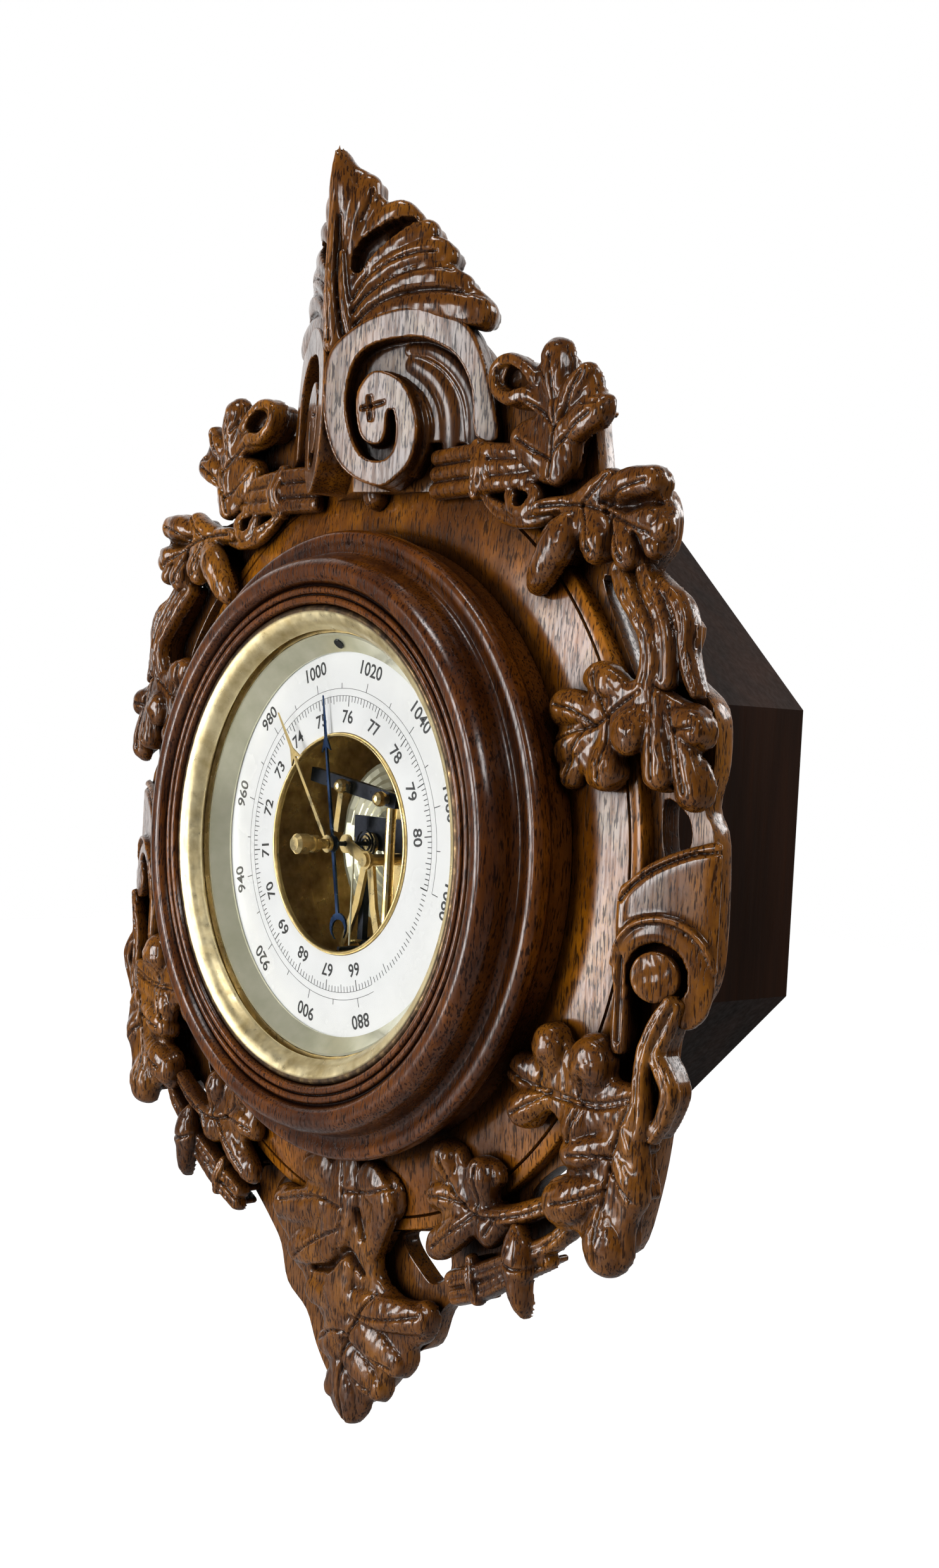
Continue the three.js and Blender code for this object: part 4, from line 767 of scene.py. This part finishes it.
for lobe in (
    [(119, -67, 5, 4), (118.4, -60, 7, 0.6), (118, -57.6, 6.8, 0.8)],
    [(138, -69, 6, 4), (138, -62.6, 8.4, 0), (137.8, -60.6, 8.4, 0.2)],
    [(112, -70, 4, 4.6), (103, -67.4, 4.6, 4), (100, -67.6, 4, 4.6)],
    [(117, -75, 4.4, 4.6), (109, -80.6, 6.2, 1.8), (105.4, -82.8, 6.4, 1.8)],
    [(134, -76, 6, 4), (131.6, -83, 6.6, 2.6), (130.6, -86.4, 4.6, 4)],
    [(148, -86, 4, 4.6), (137, -91, 6, 2.2), (131, -92.6, 5.6, 2.8)],
    [(146, -100, 4, 4.6), (133, -107.6, 7.4, 0.8), (126.4, -110.4, 7.6, 1.4)],
    [(146, -110, 6, 4.4), (147.2, -118.6, 8.6, 2), (147.4, -121.4, 8.4, 2.4)],
    [(150, -88, 4, 5), (156.4, -96, 5.4, 3.6), (158.4, -101, 4.8, 4.4)],
    [(153, -78, 4, 4.6), (157, -86, 4.4, 4.4)]):
    leaf.stroke(lobe, 5.4, edge=0.8)
leaf.veins(
    [(157, -69), (142, -73.6), (123, -73.6), (107, -72.6), (98.6, -70)],
    [(156, -71), (142, -75.2), (123, -75.2), (110, -74.4)],
    [(157, -70), (152, -82), (148.6, -96), (146.4, -110), (147, -126)],
    [(150, -90), (141, -91), (132, -92.6)], [(147.6, -101), (138, -106), (127, -110)],
    [(149, -94), (155, -98), (160, -102)], [(120, -74), (112, -79), (104, -84)],
    [(136, -75), (132.6, -82), (130.4, -89)], [(114, -73), (117, -64)], [(134, -73), (136.6, -66)])
leaf.carve("lower_leaves")

# Bottom leaf: an oak leaf that lies along the lower edge of the disc, on the stem of the lower reeds.
# Swelling lobes round a curved vein, turned under at the tips.
leaf = Carving(52, 124, -150, -98, -3, 20, 0.75)
leaf.slab([
    (56, -112), (57.4, -105.4), (64, -101.8), (72, -103), (76.6, -107.4), (79, -105.4), (85.4, -103.6),
    (92.4, -105), (95.4, -110), (92, -115.4), (93, -119), (100, -117.4), (109, -113.6), (119, -110),
    (121, -115), (111, -121), (102, -125.6), (96, -131.6), (90, -136), (84, -134.4), (80, -132), (76, -137),
    (68, -143.6), (61, -147.6), (56.2, -145), (56.6, -138.6), (62, -133), (64, -129.6), (57.6, -129),
    (54.6, -124), (56.2, -118)], 6, 3.4)
for lobe in (
    [(72, -115, 4.4, 5), (66.4, -109.4, 6, 2.6), (64.6, -107.6, 6, 2.8)],
    [(88, -119, 4.4, 5), (86, -112, 6.2, 2.4), (85.4, -109.8, 6.2, 2.6)],
    [(76, -120, 4.4, 5.4), (66, -122, 5.6, 3.6), (60.6, -123.4, 5, 4.6)],
    [(84, -126, 4.4, 5.6), (72, -134.4, 6, 4), (63, -141.4, 5.4, 5)],
    [(96, -124, 4.4, 5.6), (90, -129, 6, 4)],
    [(118, -113, 3, 6.6), (106, -119.4, 3.6, 4.6), (92, -123.4, 3.6, 4.2), (82, -122.6, 3, 5)]):
    leaf.stroke(lobe, 4.6, edge=0.9, under=9)
leaf.veins(
    [(119, -113.6), (108, -119), (92, -124), (81, -123.6), (72, -118), (66, -108)],
    [(86, -124), (86.6, -116), (85.6, -107)], [(84, -124.4), (74, -132.6), (62, -142)],
    [(78, -122.4), (68, -122), (58.6, -124)], [(95, -123.4), (91, -130)])
leaf.carve("bottom_leaf")

# Lower reeds: a pair of oak rods tied by a ribbon, with an acorn hanging from its banded cup.
# They frame the lower corner of the board.
reeds = Carving(66, 132, -164, -112, 0, 20, 0.7)
reeds.stroke([(70, -152, 3.6, 7), (84, -146, 3.8, 6.6), (102, -136.6, 3.8, 6.2), (120, -126, 3.6, 7),
              (128, -118, 3, 8)], 3.2, reeds=2, reed=0.9)
reeds.stroke([(72, -158, 3.6, 7.4), (86, -152, 3.6, 7), (100, -143.6, 3.4, 6.8), (118, -133, 3, 8)],
             3, reeds=2, reed=0.9)
reeds.stroke([(80.6, -142, 2.2, 6.4), (83, -149, 2.6, 4.8), (85, -155.4, 2.2, 6.4)], 2.2, vein=0.8)
for part in (
    [(105.6, -125, 3.4, 4), (106.8, -130, 5.8, 2), (107.2, -134, 6.4, 1.4)],
    [(107.2, -135.4, 6.9, 1.4), (107.4, -137.2, 6.9, 1.4)],
    [(107.4, -138.4, 5.2, 2.6), (108, -144, 5.2, 2.6), (109, -149.6, 3.8, 4), (109.8, -154.4, 0.9, 6.6)]):
    reeds.stroke(part, 5.4, edge=0.8, under=9)
reeds.veins([(98, -133), (108, -137), (118, -135)])
reeds.carve("lower_reeds")

# Pendant: the oak drop at the foot of the board, two leaves set base to tip about the middle.
# Keeled like the crest, with sunk veins and waved edges.
drop = Carving(-57, 57, -231, -119, 0, 20, 0.8)
drop.slab([
    (6, -121.4), (16, -122.6), (26, -121), (34, -122.6), (38.6, -129), (37, -137), (31, -143), (28.6, -150),
    (25, -157), (26.6, -164), (34, -168.4), (43, -168.6), (50, -166.4), (55, -168.6), (55.6, -175),
    (51, -182), (44, -187), (42.6, -194), (37, -200.6), (30, -201.6), (29, -208), (24.6, -214),
    (17.4, -215), (14.6, -221), (8.6, -227.4), (1, -229.4), (-6, -226), (-11, -219), (-11.6, -212.6),
    (-9, -208), (-15, -203), (-15.6, -197), (-11, -193), (-16, -187), (-23, -182.6), (-25, -177),
    (-33, -172.6), (-36, -165), (-42.4, -160), (-46.4, -153), (-45, -146), (-39, -142), (-30, -142),
    (-24, -139.4), (-22.6, -133), (-25, -127), (-20, -123), (-10, -125)],
    7 + 0.05 * abs(drop.x) + 0.11 * np.maximum(-150 - drop.z, 0), 3.4)
for fold, fall in (
    ([(7, -125, 8, 6), (6, -136, 9, 5.4), (2, -148, 9.4, 5.6), (-2, -158, 7, 7)], 2),
    ([(22, -127, 8, 5.2), (29.6, -133, 7, 5.2), (26.6, -144, 5.6, 6.4), (21, -155, 4.4, 8)], 3),
    ([(-9, -129, 7, 5.8), (-17, -130.6, 5.6, 5.8)], 2.6),
    ([(-10, -144, 7, 6.2), (-26, -148, 7.2, 6.4), (-38.6, -150.6, 6.2, 7.6)], 3),
    ([(-6, -160, 7, 7), (-20, -163, 7.6, 7.2), (-29, -166.6, 5.4, 8.6)], 3),
    ([(6, -164, 7, 7), (3, -176, 9, 7), (0, -188, 7.6, 8.8), (-4, -198, 6, 10.8)], 2.4),
    ([(-4, -180, 6, 8.4), (-16, -180, 6, 9.4)], 2.6),
    ([(10, -177, 6, 7.8), (26, -176.6, 7, 7.6), (40, -175, 6.4, 8.4), (48.6, -174, 5.6, 9.8)], 3),
    ([(8, -187, 6, 9), (22, -190, 7.6, 9.2), (34, -194.4, 6, 10.8)], 3),
    ([(4, -198, 5, 10.8), (15, -204, 7.2, 10.8), (22, -208, 5.6, 12.4)], 3),
    ([(0, -207, 5, 12), (3, -216, 7.6, 12.2), (4, -223, 5.6, 13.6)], 3),
    ([(-3, -200, 5, 11.4), (-9.6, -200, 5, 12)], 2.6), ([(-3, -212, 5, 12.8), (-6.4, -217, 4.4, 13.2)], 2.6)):
    drop.stroke(fold, fall, edge=1.4)
drop.veins(
    [(17, -181), (32, -178), (50, -172)], [(9, -193), (20, -196), (34, -196.6)],
    [(4, -205), (13, -208), (21, -210)], [(8, -190), (-2, -192), (-13, -199)],
    [(5, -141), (-14, -141), (-38, -148)], [(4, -150), (-10, -157), (-28, -169)],
    [(8, -134), (20, -132), (34, -127)])
drop.veins([(5, -123), (7, -140), (2, -160)], depth=0.8)
drop.cut([(26, -170, 0.6), (15, -183, 0.7), (5, -199, 0.6), (2, -215, 0.6), (3, -228, 0.6)], 1.2)
drop.cut([(-16, -171, 1), (-3, -167, 1.6), (8, -158, 1.8), (17, -164, 1.4)], 2.4)
drop.cut([(14, -140, 1), (18, -150, 1.6)], 1.8)
drop.carve("pendant", mirrored=(False,))

# Octagonal case: dark stained oak boards, mitred at the corners, with a panel let into the back.
# The instrument hangs inside it, and the carved board is screwed to its front edge.
dark = bpy.data.node_groups.new("dark_oak_grain", "ShaderNodeTree")
fine = noise(dark, (500, 500, 24), 3, 6)
shade = ramp(dark, noise(dark, (45, 45, 6), 5, 3), (0.35, (0.014, 0.006, 0.003)), (0.7, (0.04, 0.015, 0.007)))
shade = blended(dark, calc(dark, "MULTIPLY", fine, 0.5), shade, (0.006, 0.004, 0.003))
gathered(dark, Color=shade, Roughness=ramp(dark, fine, (0.3, 0.42), (0.7, 0.6)), Height=fine)
dark_oak = finish("dark_oak", dark, 0.4, Specular_IOR_Level=0.05)


def painted(material, *nodes):
    """CAD nodes that stay as they are, under their own finish."""
    for node in nodes:
        held = bpy.data.objects[node]
        held.data.materials.clear()
        held.data.materials.append(material)


painted(dark_oak, "octagon_case", "back_panel")

# Brass case: a spun drum, its bezel and the rim of the dial, lacquered brass gone brown in the grooves.
# The bezel springs over the flange of the drum and holds the glass against it.
metal = bpy.data.node_groups.new("brass_wear", "ShaderNodeTree")
stains = noise(metal, 120, 6, 1)
tone = ramp(metal, stains, (0.35, (0.5, 0.36, 0.14)), (0.55, (0.78, 0.6, 0.28)), (0.75, (0.88, 0.72, 0.4)))
sheen = ramp(metal, stains, (0.35, 0.42), (0.7, 0.2))
gathered(metal, Color=tone, Roughness=sheen, Height=noise(metal, (900, 60, 900), 2, 5))
brass = finish("aged_brass", metal, 0.08, Metallic=1.0)
painted(brass, "movement_case", "hanger_plate", "hanger_screw_1", "hanger_screw_2")

FLANK_END, GROOVE_START = 0.0876, 0.0886  # metres from the middle: bright inside, dulled outside
patina = bpy.data.node_groups.new("bezel_patina", "ShaderNodeTree")
parts = add(patina, "SeparateXYZ", {0: add(patina, "TexCoord").outputs["Object"]}).outputs
squares = [calc(patina, "POWER", parts[axis], 2.0) for axis in "XZ"]
reach = calc(patina, "SQRT", calc(patina, "ADD", *squares))
rimward = add(patina, "MapRange", {"Value": reach, "From Min": FLANK_END, "From Max": GROOVE_START})
mottle = noise(patina, 240, 5, 2)
dulled = ramp(patina, mottle, (0.35, (0.02, 0.012, 0.007)), (0.55, (0.1, 0.06, 0.03)),
              (0.7, (0.3, 0.2, 0.09)))
bright = ramp(patina, noise(patina, 90, 5, 7), (0.3, (0.5, 0.38, 0.17)), (0.6, (0.85, 0.72, 0.42)))
gathered(
    patina, Color=blended(patina, rimward.outputs["Result"], bright, dulled),
    Roughness=ramp(patina, mottle, (0.3, 0.5), (0.7, 0.24)), Height=mottle)
bezel_profile = [
    (90.6, -7.5), (90.6, -15.2), (90.2, -16), (89.4, -16.4), (88, -16.2), (86.6, -15.5), (85.4, -15),
    (84.2, -14), (83.2, -12.6), (82.4, -11.2), (82, -10.7), (81.7, -10.4), (81.7, -9.8), (84.3, -9.8),
    (84.3, -7.5)]
bezel_finish = finish("bezel_brass", patina, 0.2, Metallic=0.8)
turned("bezel_ring", bezel_profile, bezel_finish, "bezel", 40)

# Glass: a flat pane, bored in the middle for the knob of the setting hand.
# It lies on the flange of the drum under the bezel, and shows most where it is seen edge on.
glass_finish = bpy.data.materials.new("clear_glass")
glass_finish.use_nodes = True
tree = glass_finish.node_tree
pane = tree.nodes["Principled BSDF"]
pane.inputs["Base Color"].default_value = (0.01, 0.014, 0.012, 1)
pane.inputs["Roughness"].default_value = 0.02
edge_on = add(tree, "LayerWeight", {"Blend": 0.25}).outputs["Facing"]
tree.links.new(ramp(tree, edge_on, (0.2, 0.03), (1.0, 0.4)), pane.inputs["Alpha"])
pane_profile = [(2.3, -7.5), (83.8, -7.5), (84, -7.7), (84, -9.3), (83.8, -9.5), (2.3, -9.5)]
turned("glass_pane", pane_profile, glass_finish, "glass", 40, 192)

# Reflector: a spun ring of silvered brass that slopes from the glass down to the dial.
# One small screw holds it above the twelve o'clock mark; the movement behind shares its metals.
def clouded(name, stretch, detail, offset, tones, sheen, **constants):
    """A finish whose colour and roughness both follow one soft noise."""
    surface = bpy.data.node_groups.new(name + "_skin", "ShaderNodeTree")
    cloud = noise(surface, stretch, detail, offset)
    gathered(surface, Color=ramp(surface, cloud, (0.3, tones[0]), (0.7, tones[1])),
             Roughness=ramp(surface, cloud, (0.3, sheen[0]), (0.7, sheen[1])))
    return finish(name, surface, **constants)


silvered = clouded("silvered", 70, 5, 8, ((0.62, 0.61, 0.42), (0.86, 0.83, 0.62)), (0.24, 0.12), Metallic=0.6)
cone = [(74, -0.3), (76, -0.3), (80.7, -5.9), (80.7, -6.9), (79.8, -6.9), (74, -1)]
turned("reflector_ring", cone, silvered, "reflector", 40)
steels = ((0.018, 0.02, 0.026), (0.06, 0.065, 0.08))
dark_steel = clouded("dark_steel", 160, 4, 3, steels, (0.42, 0.25), Metallic=1.0)
painted(dark_steel, "reflector_screw", "crossbar", "main_lever", "rocking_shaft", "pointer_arbor",
        "hairspring", "adjusting_screw")
painted(silvered, "capsule", "chain")
painted(brass, "movement_plate", "capsule_stud", "bridge", "link_nut", "bar_nut", "frame_rod", "front_cock",
        "arbor_bracket", "set_knob")

# Dial: a white enamelled ring, printed in black with plain numbers and ticks.
# It rests on the ledge of the drum; a brass rim lines its open middle.
rim_profile = [(41.4, 1.2), (41.4, -0.9), (41.7, -1.2), (42.1, -1.2), (42.6, -0.9), (42.8, -0.3), (42.8, 1.2)]
turned("opening_rim", rim_profile, brass, "dial_rim", 50, 192)
enamel = clouded("white_enamel", 40, 4, 2, ((0.76, 0.77, 0.76), (0.86, 0.87, 0.86)), (0.3, 0.22))
plate = [(43, 1.2), (43, 0.1), (43.1, 0), (78.9, 0), (79, 0.1), (79, 1.2)]
turned("dial_plate", plate, enamel, "dial", 40)
print_skin = bpy.data.node_groups.new("ink_skin", "ShaderNodeTree")
gathered(print_skin, Color=ramp(print_skin, noise(print_skin, 300, 3), (0.3, 0.006), (0.7, 0.018)),
         Roughness=ramp(print_skin, noise(print_skin, 200, 3), (0.3, 0.4), (0.7, 0.5)))
ink = finish("printing_ink", print_skin)
points, faces = [], []


def tick(angle, inner, outer, half):
    """A printed line that points outwards, raised by the thickness of the ink."""
    a = math.radians(angle)
    start = len(points)
    for y in (-0.03, 0.01):
        for r, w in ((inner, -half), (inner, half), (outer, half), (outer, -half)):
            points.append((r * math.sin(a) + w * math.cos(a), y, r * math.cos(a) - w * math.sin(a)))
    faces.extend([(start, start + 1, start + 2, start + 3), (start + 7, start + 6, start + 5, start + 4)])
    for k in range(4):
        after = (k + 1) % 4
        faces.append((start + k, start + k + 4, start + after + 4, start + after))


def lettered(text, angle, radius, height):
    """A printed number whose foot points to the middle of the dial."""
    curve = bpy.data.curves.new("number", "FONT")
    curve.body, curve.size, curve.align_x, curve.align_y = text, height, "CENTER", "CENTER"
    curve.extrude, curve.offset, curve.resolution_u = 0.02, 0.12, 3
    holder = bpy.data.objects.new("number", curve)
    mesh = bpy.data.meshes.new_from_object(holder)
    bpy.data.objects.remove(holder)
    a = math.radians(angle)
    start = len(points)
    for vertex in mesh.vertices:
        x, z, out = vertex.co
        r = radius + z
        points.append((r * math.sin(a) + x * math.cos(a), -0.01 - out, r * math.cos(a) - x * math.sin(a)))
    faces.extend([[start + i for i in face.vertices] for face in mesh.polygons])
    bpy.data.meshes.remove(mesh)


FIRST, LAST = 65.5, 81
PER_UNIT, OFFSET = 20, 7.31
HPA_PER_CM = 13.3322
THIN, BOLD = 0.16, 0.22
LONG, MIDDLE, SHORT, SCALE_CIRCLE = 53, 54, 54.8, 57


def scale_angle(value):
    """Degrees clockwise from the top for a reading in centimetres of mercury."""
    return (value - 75.5) * PER_UNIT - OFFSET


for k in range(156):
    foot = LONG if k % 10 == 5 else MIDDLE if k % 5 == 0 else SHORT
    tick(scale_angle(FIRST + k / 10), foot, SCALE_CIRCLE, BOLD if k % 10 == 5 else THIN)
for k in range(30):  # the plain ticks past 81 that close the circle
    beyond = (k / 10 - 0.5) * PER_UNIT + 110 - OFFSET
    tick(beyond, LONG if k % 10 == 5 else SHORT, SCALE_CIRCLE, THIN)
for value in range(66, 81):
    lettered(str(value), scale_angle(value), 48.8, 7)
for value in range(880, 1081, 10):
    angle = scale_angle(value / HPA_PER_CM)
    tick(angle, 60, 63.4 if value % 20 == 0 else 62, THIN)
    if value % 20 == 0:
        lettered(str(value), angle, 68.4, 7.4)
for k in range(720):  # two thin circles, printed as short strokes that meet
    angle = k / 2 - 210
    for r in (57.1, 59.9):
        if scale_angle(FIRST) <= angle <= scale_angle(LAST):
            tick(angle, r - 0.09, r + 0.09, r * math.pi / 720)
print_mesh = built("dial_print", points, faces)
print_mesh.materials.append(ink)
printing = bpy.data.objects.new("dial_print", print_mesh)
bpy.context.collection.objects.link(printing)
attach(printing, "case")

# Hands: a blued steel pointer on the arbor and a brass setting hand on the knob in the glass.
# Both are cut from sheet and filed to a spear point.
blues = ((0.02, 0.04, 0.1), (0.05, 0.09, 0.19))
blued = clouded("blued_steel", 90, 3, 5, blues, (0.22, 0.35), Metallic=1.0)
painted(blued, "pointer_hand")
painted(brass, "set_hand")
